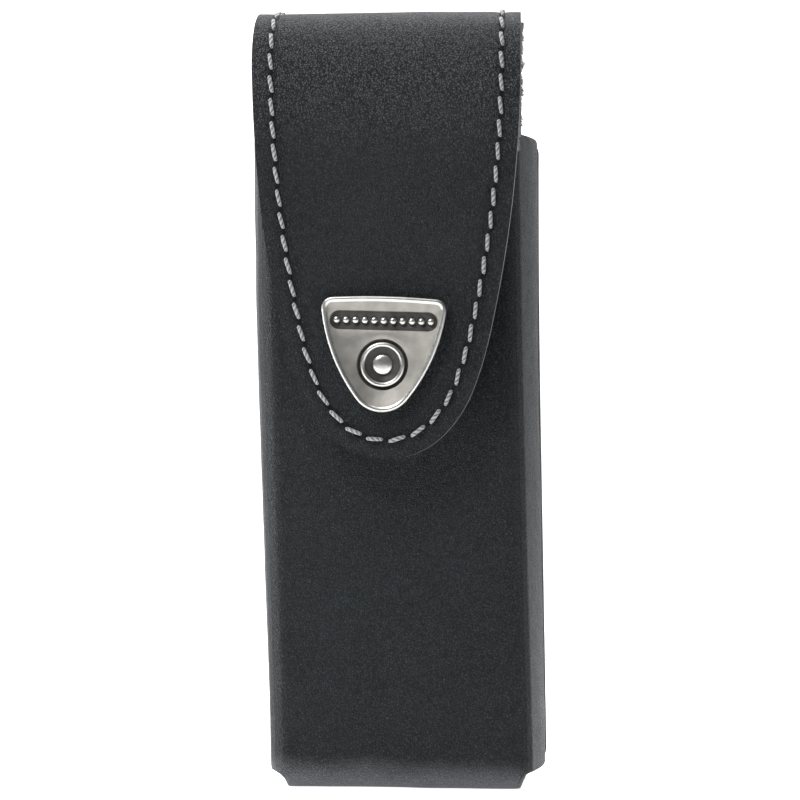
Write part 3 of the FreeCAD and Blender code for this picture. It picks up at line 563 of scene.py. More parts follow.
def smooth_corners(points, radii):
    """A polyline whose inner corners are rounded, as sampled points."""
    points = [np.array(p, float) for p in points]
    curve = [points[0]]
    for here, before, after, radius in zip(points[1:-1], points, points[2:], radii):
        come, leave = here - before, after - here
        come, leave = come / np.linalg.norm(come), leave / np.linalg.norm(leave)
        turn = math.atan2(come[0] * leave[1] - come[1] * leave[0], come @ leave)
        start = here - come * radius * math.tan(abs(turn) / 2)
        arc = trace(start, math.degrees(math.atan2(come[1], come[0])), [(radius, math.degrees(turn))])
        curve.extend(np.stack([arc[1], arc[2]], 1))
    curve.append(points[-1])
    return np.array(curve)


def panel_outline(inset):
    """Right half of the back panel's edge, from the middle of its base up to the neck."""
    mouth = MOUTH - STRAP_BASE
    points = [(0, inset), (BASE_WIDTH - inset, inset), (MOUTH_WIDTH - inset, mouth - inset),
              (NECK_WIDTH - inset, mouth - inset), (NECK_WIDTH - inset, NECK_LINE)]
    return smooth_corners(points, [BASE_CORNER - inset, PANEL_SHOULDER, PANEL_SHOULDER])


def split_at(curve, distance, step):
    """Cuts an evenly stepped polyline in two at a point that both parts keep."""
    cut = int(round(distance / step))
    return curve[:cut + 1], curve[cut:]


def mirrored(curve):
    """A curve from the centre line, with its mirror image before it."""
    return np.concatenate([(curve * (-1, 1))[::-1], curve[1:]])


print("tongue outline starts", tongue_outline(0)[0].round(1), "panel mouth half width", round(MOUTH_WIDTH, 2))

# %% [markdown]
# ## Seam lines
#
# The seam runs 3.3 mm inside the cut edge. Its line is kept as a polyline, so that each vertex
# can be told its distance from the seam and its place along it, counted in stitches. Where the
# front and the back half of the strap meet on top of the crown, both have a needle hole.

# %% Seams on the strap
SEAM_INSET = 3.3
STITCH = 3.9
MEASURE_CHUNK = 4000         # points measured at a time, to spare memory


class Seam:
    """A sewn line on a flat blank, with evenly spaced needle holes."""

    def __init__(self, line):
        self.line = np.array(line)
        steps = np.linalg.norm(np.diff(self.line, axis=0), axis=1)
        self.gone = np.concatenate([[0], np.cumsum(steps)])
        self.stitches = max(1, round(self.gone[-1] / STITCH))
        self.pitch = self.gone[-1] / self.stitches

    def place(self, stitches):
        """Point and heading at a number of stitches from the start."""
        at = stitches * self.pitch
        here, ahead, behind = [[np.interp(at + step, self.gone, self.line[:, axis]) for axis in (0, 1)]
                               for step in (0, 0.2, -0.2)]
        return *here, math.atan2(ahead[1] - behind[1], ahead[0] - behind[0])

    def measure(self, spots):
        """For each point, its distance from the seam and its run along it in stitches."""
        off = np.full(len(spots), FAR_FROM_SEAM)
        run = np.zeros(len(spots))
        for start in range(0, len(spots), MEASURE_CHUNK):
            chunk = slice(start, start + MEASURE_CHUNK)
            part = spots[chunk, None, :2] - self.line[None]
            reach = np.einsum("ijk,ijk->ij", part, part)
            near = reach.argmin(1)
            off[chunk] = np.sqrt(reach[np.arange(len(near)), near])
            run[chunk] = self.gone[near] / self.pitch
        return off, run


def dense(curve, step=0.05):
    """A polyline with points close enough together to measure against."""
    length = np.linalg.norm(np.diff(curve, axis=0), axis=1).sum()
    return even_points(curve, int(length / step))


SEAM_BASE = 5.2 - STRAP_BASE
tongue_seam_half = np.concatenate([tongue_outline(SEAM_INSET),
                                   crown_side(SEAM_INSET, FRONT_SPRING, CROWN_MIDDLE)])
panel_seam_half = np.concatenate([
    smooth_corners([(0, SEAM_BASE), (BASE_WIDTH - SEAM_INSET, SEAM_BASE),
                    (MOUTH_WIDTH - SEAM_INSET, MOUTH - 2 * SEAM_INSET - STRAP_BASE),
                    (NECK_WIDTH - SEAM_INSET, MOUTH - 1.0 - STRAP_BASE),
                    (NECK_WIDTH - SEAM_INSET, NECK_LINE)],
                   [SEAM_INSET] * 3), crown_side(SEAM_INSET, NECK_LINE, CROWN_MIDDLE)])
tongue_seams = [Seam(dense(tongue_seam_half * (side, 1))) for side in (1, -1)]
panel_seams = [Seam(dense(panel_seam_half * (side, 1))) for side in (1, -1)]
print("stitches on each side: tongue", tongue_seams[0].stitches, "back", panel_seams[0].stitches)


# %% Record the seam on a blank
def mark_seams(bm, seams, groove=0.18, width=0.8):
    """Stores distance and run, and presses a shallow groove into the outer face."""
    off_layer = bm.verts.layers.float.new(SEAM_OFF)
    run_layer = bm.verts.layers.float.new(SEAM_RUN)
    spots = np.array([vert.co for vert in bm.verts])
    best = np.full(len(spots), FAR_FROM_SEAM)
    run = np.zeros(len(spots))
    for seam in seams:
        off, along = seam.measure(spots)
        closer = off < best
        best[closer], run[closer] = off[closer], along[closer]
    for vert, distance, place in zip(bm.verts, best, run):
        vert[off_layer], vert[run_layer] = distance, place
        press = groove * math.exp(-(distance / width) ** 2)
        if vert.co.z > -LEATHER / 2:
            vert.co.z -= press


# %% [markdown]
# ## The back and crown, and the tongue
#
# The strap is one piece of leather. It is made as two sheets that meet on top of the crown,
# because each sheet may bend across one hinge only: the rear sheet at the neck, and the front
# sheet at the front bend. Both follow the crown where they meet, so the join is closed.


def bend_at_neck(piece):
    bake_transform(piece)


def bend_at_front(piece):
    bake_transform(piece)


def ride_on_pouch(piece):
    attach(piece, "pouch")


def ride_on_tongue(piece):
    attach(piece, "tongue")


def strap_half(outline, crown_start, inset, corner, columns, rows):
    """One half of the strap as a flat grid, from its outer end to the crown's middle."""
    bm = grid(columns, rows)
    half = dense(np.concatenate([outline, crown_side(inset, crown_start, CROWN_MIDDLE)]), TRACE_STEP)
    outer_end, side = split_at(half, corner, TRACE_STEP)
    head = np.array([(0, CROWN_MIDDLE), (side[-1][0], CROWN_MIDDLE)])
    lay_out(bm, mirrored(outer_end), side, mirrored(head), columns, rows)
    return bm


TIP_CORNER = 12.5            # along the tip's edge, where the grid has its corner
BASE_CORNER_MIDDLE = 22.7
STRAP_RIM = 0.3


def work_leather(sheet, thickness, rim, seams, fold, join=math.inf):
    """Thickens a flat sheet, trims its edge, marks its seams and folds it."""
    thicken(sheet, thickness)
    round_rim(sheet, rim, join=join)
    mark_seams(sheet, seams)
    reshape(sheet, fold)
    return sheet


front_half = strap_half(tongue_outline(0), FRONT_SPRING, 0, TIP_CORNER, 80, 150)
front_sheet = work_leather(front_half, LEATHER, STRAP_RIM, tongue_seams, fold_strap, CROWN_MIDDLE)
finish_piece(front_sheet, "crown_and_tongue_leather", SEWN, "leather_black", bend_at_front,
             "tongue_leather", "crown_leather")
rear_half = strap_half(panel_outline(0), NECK_LINE, 0, BASE_CORNER_MIDDLE, 80, 190)
rear_sheet = work_leather(rear_half, LEATHER, STRAP_RIM, panel_seams, fold_strap, CROWN_MIDDLE)
finish_piece(rear_sheet, "back_and_crown_leather", SEWN, "leather_black", bend_at_neck, "back_panel")

# %% [markdown]
# The lining is a second, thinner sheet of suede under the strap. It is cut to the same outline at
# the tongue and a little smaller behind the pocket. Its loose fibres stick out at the cut edge,
# which the fuzz further down makes.

# %% Lining sheets
FLAP_LINING_INSET = 0.15
LINING_INSET = 0.5


def lining_piece(name, outline, start, inset, corner, rows, carry, *stands_for):
    sheet = strap_half(outline(inset), start, inset, corner, 44, rows)
    thicken(sheet, LINING)
    round_rim(sheet, 0.2, 1, join=CROWN_MIDDLE)
    bmesh.ops.translate(sheet, verts=sheet.verts, vec=(0, 0, -LEATHER))
    reshape(sheet, fold_strap)
    finish_piece(sheet, name, [suede] * 3, "suede_lining", carry, *stands_for)


lining_piece("crown_and_tongue_lining", tongue_outline, FRONT_SPRING, FLAP_LINING_INSET, TIP_CORNER,
             90, bend_at_front, "tongue_lining", "crown_lining")
lining_piece("back_and_crown_lining", panel_outline, NECK_LINE, LINING_INSET, BASE_CORNER_MIDDLE,
             120, bend_at_neck, "back_lining")

# %% [markdown]
# Suede sheds. Along the flap's cut edges a fringe of loose fibres stands out past the leather.
# Each fibre is a bent three-sided bristle, and they are strewn along the edge of the flat lining
# in tufts, more of them on the right, where the lining was cut a little wide.

# %% Lining fuzz
FUZZ_END = FRONT_SPRING + 14.0
FUZZ_COUNT = {1: 1500, -1: 250}      # by side: the right, then the left
FUZZ_STAND = {1: 0.08, -1: -0.3}     # how far each side's fringe stands out


def bristle_mesh(name, bends, thickness):
    """A three-sided bristle that follows a short list of points. Its inner rings stay filled."""
    bm = bmesh.new()
    ring = bmesh.ops.create_circle(bm, segments=3, radius=thickness / 2, cap_ends=True)["verts"]
    for vert in ring:
        vert.co += Vector(bends[0])
    top = bm.faces[:]
    for before, after in zip(bends, bends[1:]):
        made = bmesh.ops.extrude_face_region(bm, geom=top)
        top = only(BMFace, made)
        bmesh.ops.translate(bm, verts=only(BMVert, made), vec=Vector(after) - Vector(before))
    bmesh.ops.recalc_face_normals(bm, faces=bm.faces[:])
    return to_mesh(bm, name)


fibre = bristle_mesh("fibre", [(0, 0, 0), (0.05, 0, 0.35), (0.0, 0.06, 0.7), (-0.12, 0.1, 1.0)], 0.13)
flap_edge = np.concatenate([crown_side(0, CROWN_MIDDLE, FRONT_SPRING), tongue_outline(0)[::-1]])
fuzz = bmesh.new()
for side, count in FUZZ_COUNT.items():
    for _ in range(count):
        along = random.uniform(CROWN_MIDDLE, FUZZ_END)
        tuft = 0.5 + noise.noise(Vector((along * 0.6, 2.0 * side, 0.0)))
        edge = np.interp(along, flap_edge[:, 1], flap_edge[:, 0])
        length = random.uniform(0.25, 0.6) * (0.6 + tuft)
        place = (Matrix.Translation((side * (edge - 0.25 + FUZZ_STAND[side]), along,
                                     -LEATHER - random.uniform(0.1, LINING - 0.1)))
                 @ Matrix.Rotation(random.uniform(-0.7, 0.7), 4, "Z")
                 @ Matrix.Rotation(side * math.radians(90) + random.uniform(-0.4, 0.4), 4, "Y")
                 @ Matrix.Rotation(random.uniform(0, 2 * math.pi), 4, "Z")
                 @ Matrix.Diagonal((0.6, 0.6, length, 1)))
        stamp(fuzz, fibre, place)
reshape(fuzz, fold_strap)
finish_piece(fuzz, "lining_fuzz", [suede], "suede_lining", bend_at_front)

# %% [markdown]
# ## The pocket
#
# Front, side walls, bottom and the flanges that are sewn to the back are one cross-shaped blank.
# It could be built as a box with rounded edges, but a box has no cut edges and no notches at its
# lower corners. So the blank is laid flat: columns run round the pocket's girth, rows run from
# the mouth down, under the bottom and up the base flange. Faces outside the cross are deleted.

# %% The pocket's girth
FRONT_FOLD = 3.4
REAR_FOLD = 2.4
BASE_FOLD = 5.0
FRONT_HALF = 22.8
FLANGE_EDGE = 16.5
BASE_FLANGE_EDGE = 15.0
BASE_FLANGE_TOP = 9.0
BASE_EDGE = 20.3
NOTCH = 3.2
MOUTH_ROUND = 2.5
POCKET_FRONT = shell_low[1]
POCKET_BACK = shell_high[1]


def girth(back_half):
    """Half the way round the pocket from the middle of its front, and where its folds begin."""
    run_x, run_y = back_half - FRONT_HALF, POCKET_BACK - POCKET_FRONT
    turn = math.atan2(run_y, run_x)
    near = FRONT_FOLD * math.tan(turn / 2)
    far = REAR_FOLD * math.tan((math.pi - turn) / 2)
    moves = [FRONT_HALF - near, (FRONT_FOLD, math.degrees(turn)), math.hypot(run_x, run_y) - near - far,
             (REAR_FOLD, 180 - math.degrees(turn)), back_half - far - FLANGE_EDGE]
    lengths = [move[0] * math.radians(move[1]) if isinstance(move, tuple) else move for move in moves]
    return trace((0.0, POCKET_FRONT), 0.0, moves), np.concatenate([[0], np.cumsum(lengths)])


base_girth, base_breaks = girth(BASE_WIDTH)
mouth_girth, mouth_breaks = girth(MOUTH_WIDTH)
bottom_run = POCKET_BACK - POCKET_FRONT - BASE_FOLD - REAR_FOLD
under_profile = trace((POCKET_FRONT, MOUTH), -90.0, [
    MOUTH - BASE_FOLD, (BASE_FOLD, 90.0), bottom_run, (REAR_FOLD, 90.0), BASE_FLANGE_TOP - REAR_FOLD])
print("half girth", base_breaks[-1].round(1), "fold marks", base_breaks.round(1))


# %% Fold the pocket
POCKET_WAVE = 0.2
WALL_BOW = 0.8               # the side walls belly out a little, as hand-folded ones do
WALL_SPREAD = 0.2            # and the right one stands out further at the mouth
LOOSENING = 2.2              # past the bottom's edge, the blank stops following the bottom


def fold_pocket(spots):
    """Carries (round, up, height) on the flat blank to its place on the pocket."""
    around, up, height = spots.T
    height = height + waves(around, up, POCKET_WAVE, 5.0)
    side, around = np.sign(around), np.abs(around)
    share = np.clip(up / MOUTH, 0, 1)
    low = look_up(base_girth, around)
    high = look_up(mouth_girth, np.interp(around, base_breaks, mouth_breaks))
    x, y, heading = [(1 - share) * a + share * b for a, b in zip(low, high)]
    wall = np.clip((around - base_breaks[2]) / (base_breaks[3] - base_breaks[2]), 0, 1)
    x = x + height * np.sin(heading) + WALL_BOW * np.sin(wall * math.pi)
    x = x + np.where(side > 0, WALL_SPREAD * share * wall, 0)
    inward = y - height * np.cos(heading) - POCKET_FRONT
    under_y, under_z, under_heading = look_up(under_profile, MOUTH - up)
    under = np.stack([under_y - inward * np.sin(under_heading), under_z + inward * np.cos(under_heading)])
    upright = np.stack([POCKET_FRONT + inward, up])
    loose = ease((around - BASE_EDGE) / LOOSENING)
    y, z = (1 - loose) * under + loose * upright
    return np.stack([side * x + pocket_lean(z), y, z], 1)


# %% Columns and rows of the pocket's blank
def ruler(*marks):
    """Positions through a list of marks, each pair with the number of cells between them."""
    places = [marks[0]]
    for cells, mark in zip(marks[1::2], marks[2::2]):
        places.extend(np.linspace(places[-1], mark, cells + 1)[1:])
    return np.array(places)


notch_turns = np.radians([0, 25, 45, 66, 90])
notch_columns = BASE_EDGE + NOTCH * (1 - np.cos(notch_turns))
half_columns = np.concatenate([
    ruler(0.0, 17, BASE_FLANGE_EDGE, 5, base_breaks[1]), notch_columns,
    ruler(notch_columns[-1], 2, base_breaks[2], 24, base_breaks[3],
          8, base_breaks[4], 7, base_breaks[5])[1:]])
columns = np.concatenate([-half_columns[:0:-1], half_columns])
under_marks = MOUTH - (MOUTH - BASE_FOLD + BASE_FOLD * math.pi / 2
                       + np.cumsum([0, bottom_run, REAR_FOLD * math.pi / 2, BASE_FLANGE_TOP - REAR_FOLD]))
under_rows = ruler(under_marks[3], 8, under_marks[2], 8, under_marks[1], 21, under_marks[0], 4, 0.0)
UPRIGHT_ROWS = 126


def lower_edge(around):
    """How far down each column of the upright part goes: the notches leave the corners open."""
    across = np.clip((BASE_EDGE + NOTCH - np.abs(around)) / NOTCH, 0, 1)
    return np.where(np.abs(around) < BASE_EDGE + 1e-6, 0.0, NOTCH * np.sqrt(1 - across ** 2))


def upper_edge(around):
    """The mouth, rounded off at the rear of each side wall."""
    _, y, _ = look_up(base_girth, np.abs(around))
    drop = np.clip(y - (POCKET_BACK - MOUTH_ROUND), 0, MOUTH_ROUND)
    return MOUTH - MOUTH_ROUND + np.sqrt(MOUTH_ROUND ** 2 - drop ** 2)


def lay_pocket(spots):
    last_row = len(under_rows) - 1 + UPRIGHT_ROWS
    column = np.rint((spots[:, 0] + 1) / 2 * (len(columns) - 1)).astype(int)
    row = np.rint((spots[:, 1] + 1) / 2 * last_row).astype(int)
    around = columns[column]
    share = np.clip(row - (len(under_rows) - 1), 0, UPRIGHT_ROWS) / UPRIGHT_ROWS
    low = lower_edge(around)
    up = low + share * (upper_edge(around) - low)
    up = np.where(row < len(under_rows) - 1, under_rows[np.minimum(row, len(under_rows) - 1)], up)
    return np.stack([around, up, 0 * up], 1)


# %% The pocket
POCKET_RIM = 0.25


def is_scrap(face):
    middle = face.calc_center_median()
    beside_bottom = abs(middle.x) > BASE_EDGE and min(vert.co.y for vert in face.verts) < -0.1
    beside_flange = middle.y < under_marks[1] and abs(middle.x) > BASE_FLANGE_EDGE
    return beside_bottom or beside_flange


blank = grid(len(columns) - 1, len(under_rows) - 1 + UPRIGHT_ROWS)
reshape(blank, lay_pocket)
bmesh.ops.delete(blank, geom=[face for face in blank.faces if is_scrap(face)], context="FACES")
thicken(blank, LEATHER)
round_rim(blank, POCKET_RIM)
reshape(blank, fold_pocket)
finish_piece(blank, "pocket_leather", PLAIN, "leather_black", ride_on_pouch, "front_shell")

# %% [markdown]
# ## The belt loop
#
# A plain strip stands off the back in a shallow arch and is held by two sewn rectangles. It is
# cut, thickened and folded in the same way, along its own profile.

# %% Belt loop
LOOP_LEATHER = 2.0
LOOP_HALF = 16.0
LOOP_FLANGE = 11.0
LOOP_BEND = 3.6
LOOP_SEAM_EDGE = 2.6
LOOP_RIM = 0.35
LOOP_WAVE = 0.15
SEAM_CORNER = 1.0
loop_low, loop_high = size_mm("belt_loop")
loop_rise = loop_high[1] - BACK - LOOP_LEATHER
loop_turn = math.degrees(math.acos(1 - loop_rise / (2 * LOOP_BEND)))
loop_bends = 4 * LOOP_BEND * math.sin(math.radians(loop_turn))
loop_straight = loop_high[2] - loop_low[2] - 2 * LOOP_FLANGE - loop_bends
tight, wide = LOOP_BEND - LOOP_LEATHER / 2, LOOP_BEND + LOOP_LEATHER / 2
loop_profile = trace((BACK + LOOP_LEATHER, loop_low[2]), 90.0, [
    LOOP_FLANGE, (tight, -loop_turn), (wide, loop_turn), loop_straight,
    (wide, loop_turn), (tight, -loop_turn), LOOP_FLANGE])
LOOP_LENGTH = loop_profile[0][-1]


def fold_loop(spots):
    """Carries (across, along, height) on the flat strip to its place behind the pouch."""
    across, along, height = spots.T
    y, z, heading = look_up(loop_profile, along)
    height = height + waves(across, along, LOOP_WAVE, 9.0)
    return stand_off(across + pocket_lean(z), y, z, height, heading)


def rectangle(width, length, columns, rows):
    """A flat grid that starts at the middle of its lower side."""
    bm = grid(columns, rows)
    bmesh.ops.scale(bm, vec=(width / 2, length / 2, 1), verts=bm.verts)
    bmesh.ops.translate(bm, vec=(0, length / 2, 0), verts=bm.verts)
    return bm


def box_seam(middle, half_width, half_height):
    """A closed rectangle with rounded corners, starting in the middle of its lower side."""
    corners = [(0, -half_height), (half_width, -half_height), (half_width, half_height),
               (-half_width, half_height), (-half_width, -half_height), (0, -half_height)]
    return Seam(dense(smooth_corners(corners, [SEAM_CORNER] * 4) + (0, middle)))


def loop_seam(middle):
    return box_seam(middle, LOOP_HALF - LOOP_SEAM_EDGE, LOOP_FLANGE / 2 - LOOP_SEAM_EDGE)


loop_seams = [loop_seam(middle) for middle in (LOOP_FLANGE / 2, LOOP_LENGTH - LOOP_FLANGE / 2)]
strip = rectangle(2 * LOOP_HALF, LOOP_LENGTH, 40, 120)
work_leather(strip, LOOP_LEATHER, LOOP_RIM, loop_seams, fold_loop)
finish_piece(strip, "belt_loop_leather", SEWN, "leather_black", ride_on_pouch, "belt_loop")
print("belt loop", round(LOOP_LENGTH, 1), "mm of strip, stands", round(loop_rise, 1), "mm off the back")

# %% [markdown]
# ## Thread
#
# A lockstitch shows as a row of short fat dashes. Each one comes up from a needle hole, lies on
# the leather a little askew, because the needle's point is wedge-shaped, and dives down again.
# One dash is a sphere drawn out into a capsule. Its UV map lets the thread's twist be drawn as
# slanting ridges, bumped and painted lighter on their crests and darker in their grooves as
# painted highlight and shade, and copies of it are laid along every seam while the blanks are
# still flat.

# %% Thread finish
def thread_finish(name, dark, light):
    material, tree, shader = new_finish(name)
    chart = add(tree, "ShaderNodeTexCoord").outputs["UV"]
    axes = add(tree, "ShaderNodeSeparateXYZ", {"Vector": chart})
    turns = combine(tree, "MULTIPLY_ADD", axes.outputs["Y"], 3.5, axes.outputs["X"])
    wave = combine(tree, "SINE", combine(tree, "MULTIPLY", turns, 4 * math.pi))
    ply_shading = combine(tree, "MULTIPLY_ADD", wave, 0.5, 0.5)
    fibres = speckle(tree, place_in_mm(tree), 4.0, 4.0, 0.7)
    # Painted shade and highlight: the twist's crests are painted lighter and its grooves darker; the fibre
    # noise is the thread's own tone.
    shade = combine(tree, "MULTIPLY_ADD", ply_shading, 0.4, combine(tree, "MULTIPLY", fibres, 0.8))
    colour = blend_colour(tree, fade(tree, shade, 0.3, 0.85), dark, light)
    wire(tree, shader, {"Sheen Weight": 0.3}, Base_Color=colour, Normal=bump(tree, shade, 0.12),
         Roughness=fade(tree, fibres, 0.3, 0.7, 0.75, 0.55))
    return material


grey_thread = thread_finish("grey_thread", (0.05, 0.054, 0.058, 1), (0.33, 0.34, 0.35, 1))
black_thread = thread_finish("black_thread", (0.008, 0.008, 0.009, 1), (0.04, 0.04, 0.042, 1))

# %% One dash of thread
DASH_SEGMENTS = 8
DASH_RINGS = 10
DASH_BLUNT = 8.0             # the higher, the blunter its ends
DASH_DIVE = 7.0              # the higher, the later it dives into its holes


def dash_mesh(name, length, width, height, sunk):
    """A dash along X, from hole to hole, that arches out of the leather."""
    bm = bmesh.new()
    bm.loops.layers.uv.verify()
    bmesh.ops.create_uvsphere(bm, u_segments=DASH_SEGMENTS, v_segments=DASH_RINGS, radius=1.0,
                              calc_uvs=True)
    bmesh.ops.rotate(bm, verts=bm.verts, matrix=Matrix.Rotation(math.radians(90), 3, "Y"))

    def draw_out(spots):
        x, y, z = spots.T
        reach = np.sin(x * math.pi / 2)
        full = np.sqrt(np.clip(1 - np.abs(reach) ** DASH_BLUNT, 0, 1))
        thick = full / np.sqrt(np.clip(1 - x ** 2, 1e-6, 1))
        arch = height / 2 - (sunk + height / 2) * np.abs(reach) ** DASH_DIVE
        return np.stack([reach * length / 2, y * thick * width / 2, arch + z * thick * height / 2], 1)

    reshape(bm, draw_out)
    for face in bm.faces:
        face.smooth = True
    return to_mesh(bm, name)


DASH_LEAN = math.radians(-8.0)
seam_dash = dash_mesh("seam_dash", length=3.05, width=0.7, height=0.46, sunk=0.2)
fine_dash = dash_mesh("fine_dash", length=2.5, width=0.42, height=0.3, sunk=0.1)


def lay_dashes(bm, seam, dash, base=0.0, underside=False):
    """Lays a dash between each pair of needle holes, on a face at a height (a number or a rule)."""
    flip = Matrix.Rotation(math.pi, 4, "X") if underside else Matrix.Identity(4)
    for number in range(seam.stitches):
        x, y, heading = seam.place(number + 0.5)
        lean = DASH_LEAN * random.uniform(0.8, 1.2)
        height = base(x, y) if callable(base) else base
        spread = random.uniform(0.94, 1.05)
        place = (Matrix.Translation((x, y, height)) @ Matrix.Rotation(heading + lean, 4, "Z")
                 @ flip @ Matrix.Diagonal((random.uniform(0.97, 1.03), spread, spread, 1)))
        stamp(bm, dash, place)


# %% [markdown]
# The seam of the strap shows four times: outside and inside, front half and rear half. Behind the
# pocket the inner thread lies on the flanges, which are one leather deeper than the lining.

# %% Threads on the strap
FLANGE_TOP = MOUTH - MOUTH_ROUND
UNDER_LINING = -(LEATHER + LINING)
WAXED = (seam_dash, grey_thread, "thread_grey")
FINE = (fine_dash, black_thread, "thread_dark")


def seam_piece(name, seams, fold, carry, *stands_for, thread=WAXED, **lay):
    """One piece of all the dashes of some seams; lay says on which face they lie."""
    dash, finish, slot_name = thread
    bm = bmesh.new()
    for seam in seams:
        lay_dashes(bm, seam, dash, **lay)
    reshape(bm, fold)
    finish_piece(bm, name, [finish], slot_name, carry, *stands_for)


def inner_face(x, along):
    """Height of the innermost layer under the strap's outer face, at a point of the back seam."""
    on_side = abs(x) > FLANGE_EDGE and along < FLANGE_TOP - 1.0
    on_base = abs(x) < BASE_FLANGE_EDGE and along < BASE_FLANGE_TOP
    return UNDER_LINING - LEATHER if on_side or on_base else UNDER_LINING


seam_piece("flap_seam_outer_thread", tongue_seams, fold_strap, bend_at_front,
           "tongue_needle_thread", "crown_needle_threads")
seam_piece("back_seam_outer_thread", panel_seams, fold_strap, bend_at_neck, "back_seam_needle_thread")
seam_piece("flap_seam_inner_thread", tongue_seams, fold_strap, bend_at_front,
           "tongue_bobbin_thread", "crown_bobbin_threads", base=UNDER_LINING, underside=True)
seam_piece("back_seam_inner_thread", panel_seams, fold_strap, bend_at_neck, "back_seam_bobbin_thread",
           base=inner_face, underside=True)

# %% Threads on the belt loop
back_seams = [loop_seam(middle - STRAP_BASE)
              for middle in (loop_low[2] + LOOP_FLANGE / 2, loop_high[2] - LOOP_FLANGE / 2)]
for end, outer_seam, inner_seam in zip(("lower", "upper"), loop_seams, back_seams):
    seam_piece("belt_loop_%s_outer_thread" % end, [outer_seam], fold_loop, ride_on_pouch,
               "belt_loop_%s_needle_thread" % end)
    seam_piece("belt_loop_%s_inner_thread" % end, [inner_seam], fold_strap, ride_on_pouch,
               "belt_loop_%s_bobbin_thread" % end, base=UNDER_LINING, underside=True)

# %% [markdown]
# ## Hook and loop
#
# The closure hides under the tongue and shows when the tongue lifts. The soft patch is a mat of
# tiny loops on the pocket, the stiff one a field of tiny hooks on the lining. Each loop or hook is
# a bent bristle of a few faces, copied on a jittered grid over a thin backing.

# %% Tape finishes
def tape_finish(name, dark, light, scale):
    material, tree, shader = new_finish(name)
    spot = place_in_mm(tree)
    inputs = {"Vector": spot, "Scale": scale, "Distortion": 1.5, "Detail": 2.0}
    weave = add(tree, "ShaderNodeTexWave", inputs, bands_direction="Z").outputs["Fac"]
    fibres = speckle(tree, spot, 3.0, 4.0, 0.7)
    shade = combine(tree, "MULTIPLY_ADD", weave, 0.4, combine(tree, "MULTIPLY", fibres, 0.6))
    wire(tree, shader, {"Sheen Weight": 0.25}, Base_Color=blend_colour(tree, shade, dark, light),
         Normal=bump(tree, shade, 0.08), Roughness=fade(tree, fibres, 0.3, 0.7, 0.8, 0.5))
    return material


soft_tape = tape_finish("loop_tape", (0.006, 0.006, 0.007, 1), (0.035, 0.036, 0.04, 1), 1.2)
stiff_tape = tape_finish("hook_tape", (0.005, 0.005, 0.006, 1), (0.03, 0.03, 0.032, 1), 0.9)


# %% Patch builder
def box_middle(box):
    return (box[0] + box[1]) / 2


def box_size(box):
    return box[1] - box[0]


PATCH_THICKNESS = 0.85
PATCH_CORNER = 1.6
BARE_EDGE = 0.6              # the bristles are counted for what lies inside this edge
ROOT_EDGE = 0.7              # and spread inside this one
BRISTLE_STRAY = 0.3          # in steps


def patch(box, backing, bristle, step):
    """A rounded patch in (across, up, out) with bristles inside its edge."""
    width, _, height = box_size(box)
    bm = grid(24, 24)
    bmesh.ops.scale(bm, vec=(width / 2, height / 2, 1), verts=bm.verts)
    corners = [vert for vert in bm.verts if vert.is_boundary and len(vert.link_edges) == 2]
    bmesh.ops.bevel(bm, geom=corners, offset=PATCH_CORNER, offset_type="OFFSET", segments=4,
                    affect="VERTICES", profile=0.5, material=-1)
    upper = only(BMVert, bmesh.ops.extrude_face_region(bm, geom=bm.faces[:]))
    bmesh.ops.translate(bm, verts=upper, vec=(0, 0, backing))
    bmesh.ops.recalc_face_normals(bm, faces=bm.faces[:])
    across, up = [int((side - 2 * BARE_EDGE) / step) for side in (width, height)]
    for column in range(across + 1):
        for row in range(up + 1):
            x, y = [(share - 0.5) * (side - 2 * ROOT_EDGE)
                    + random.uniform(-BRISTLE_STRAY, BRISTLE_STRAY) * step
                    for share, side in ((column / across, width), (row / up, height))]
            size = random.uniform(0.8, 1.0)
            place = (Matrix.Translation((x, y, backing * 0.8))
                     @ Matrix.Rotation(random.uniform(0, 2 * math.pi), 4, "Z")
                     @ Matrix.Diagonal((1, 1, size * (PATCH_THICKNESS - backing), 1)))
            stamp(bm, bristle, place)
    bmesh.ops.translate(bm, verts=bm.verts, vec=(0, box_middle(box)[2], 0))
    return bm


# %% The two patches
LOOP_BRISTLE = [(-0.28, 0, 0), (-0.3, 0, 0.7), (-0.08, 0.05, 1.0), (0.2, 0, 0.8), (0.3, 0, 0.1)]
HOOK_BRISTLE = [(0, 0, 0), (0, 0, 0.75), (0.15, 0, 1.0), (0.36, 0, 0.92), (0.42, 0, 0.65)]
loop_bristle = bristle_mesh("loop_bristle", LOOP_BRISTLE, 0.14)
hook_bristle = bristle_mesh("hook_bristle", HOOK_BRISTLE, 0.17)
loop_box, hook_box = size_mm("loop_patch"), size_mm("hook_patch")


def on_pocket_front(spots):
    """Lays (across, up, out) on the pocket's front, with its waves."""
    across, up, out = spots.T
    placed = fold_pocket(np.stack([across, up, 0 * up], 1))
    return placed - np.stack([0 * out, out, 0 * out], 1)


def under_tongue(spots):
    """Lays (across, up, depth below the lining) under the tongue."""
    across, up, depth = spots.T
    return fold_strap(np.stack([across, STRAP_LENGTH - (up - TIP), UNDER_LINING - depth], 1))


soft = patch(loop_box, 0.35, loop_bristle, step=0.72)
reshape(soft, on_pocket_front)
finish_piece(soft, "loop_patch_pile", [soft_tape], "loop_tape", ride_on_pouch, "loop_patch")
stiff = patch(hook_box, 0.3, hook_bristle, step=0.8)
reshape(stiff, under_tongue)
bmesh.ops.recalc_face_normals(stiff, faces=stiff.faces[:])
finish_piece(stiff, "hook_patch_bristles", [stiff_tape], "hook_tape", ride_on_tongue, "hook_patch")

# %% Patch seams
PATCH_SEAM_EDGE = 1.6


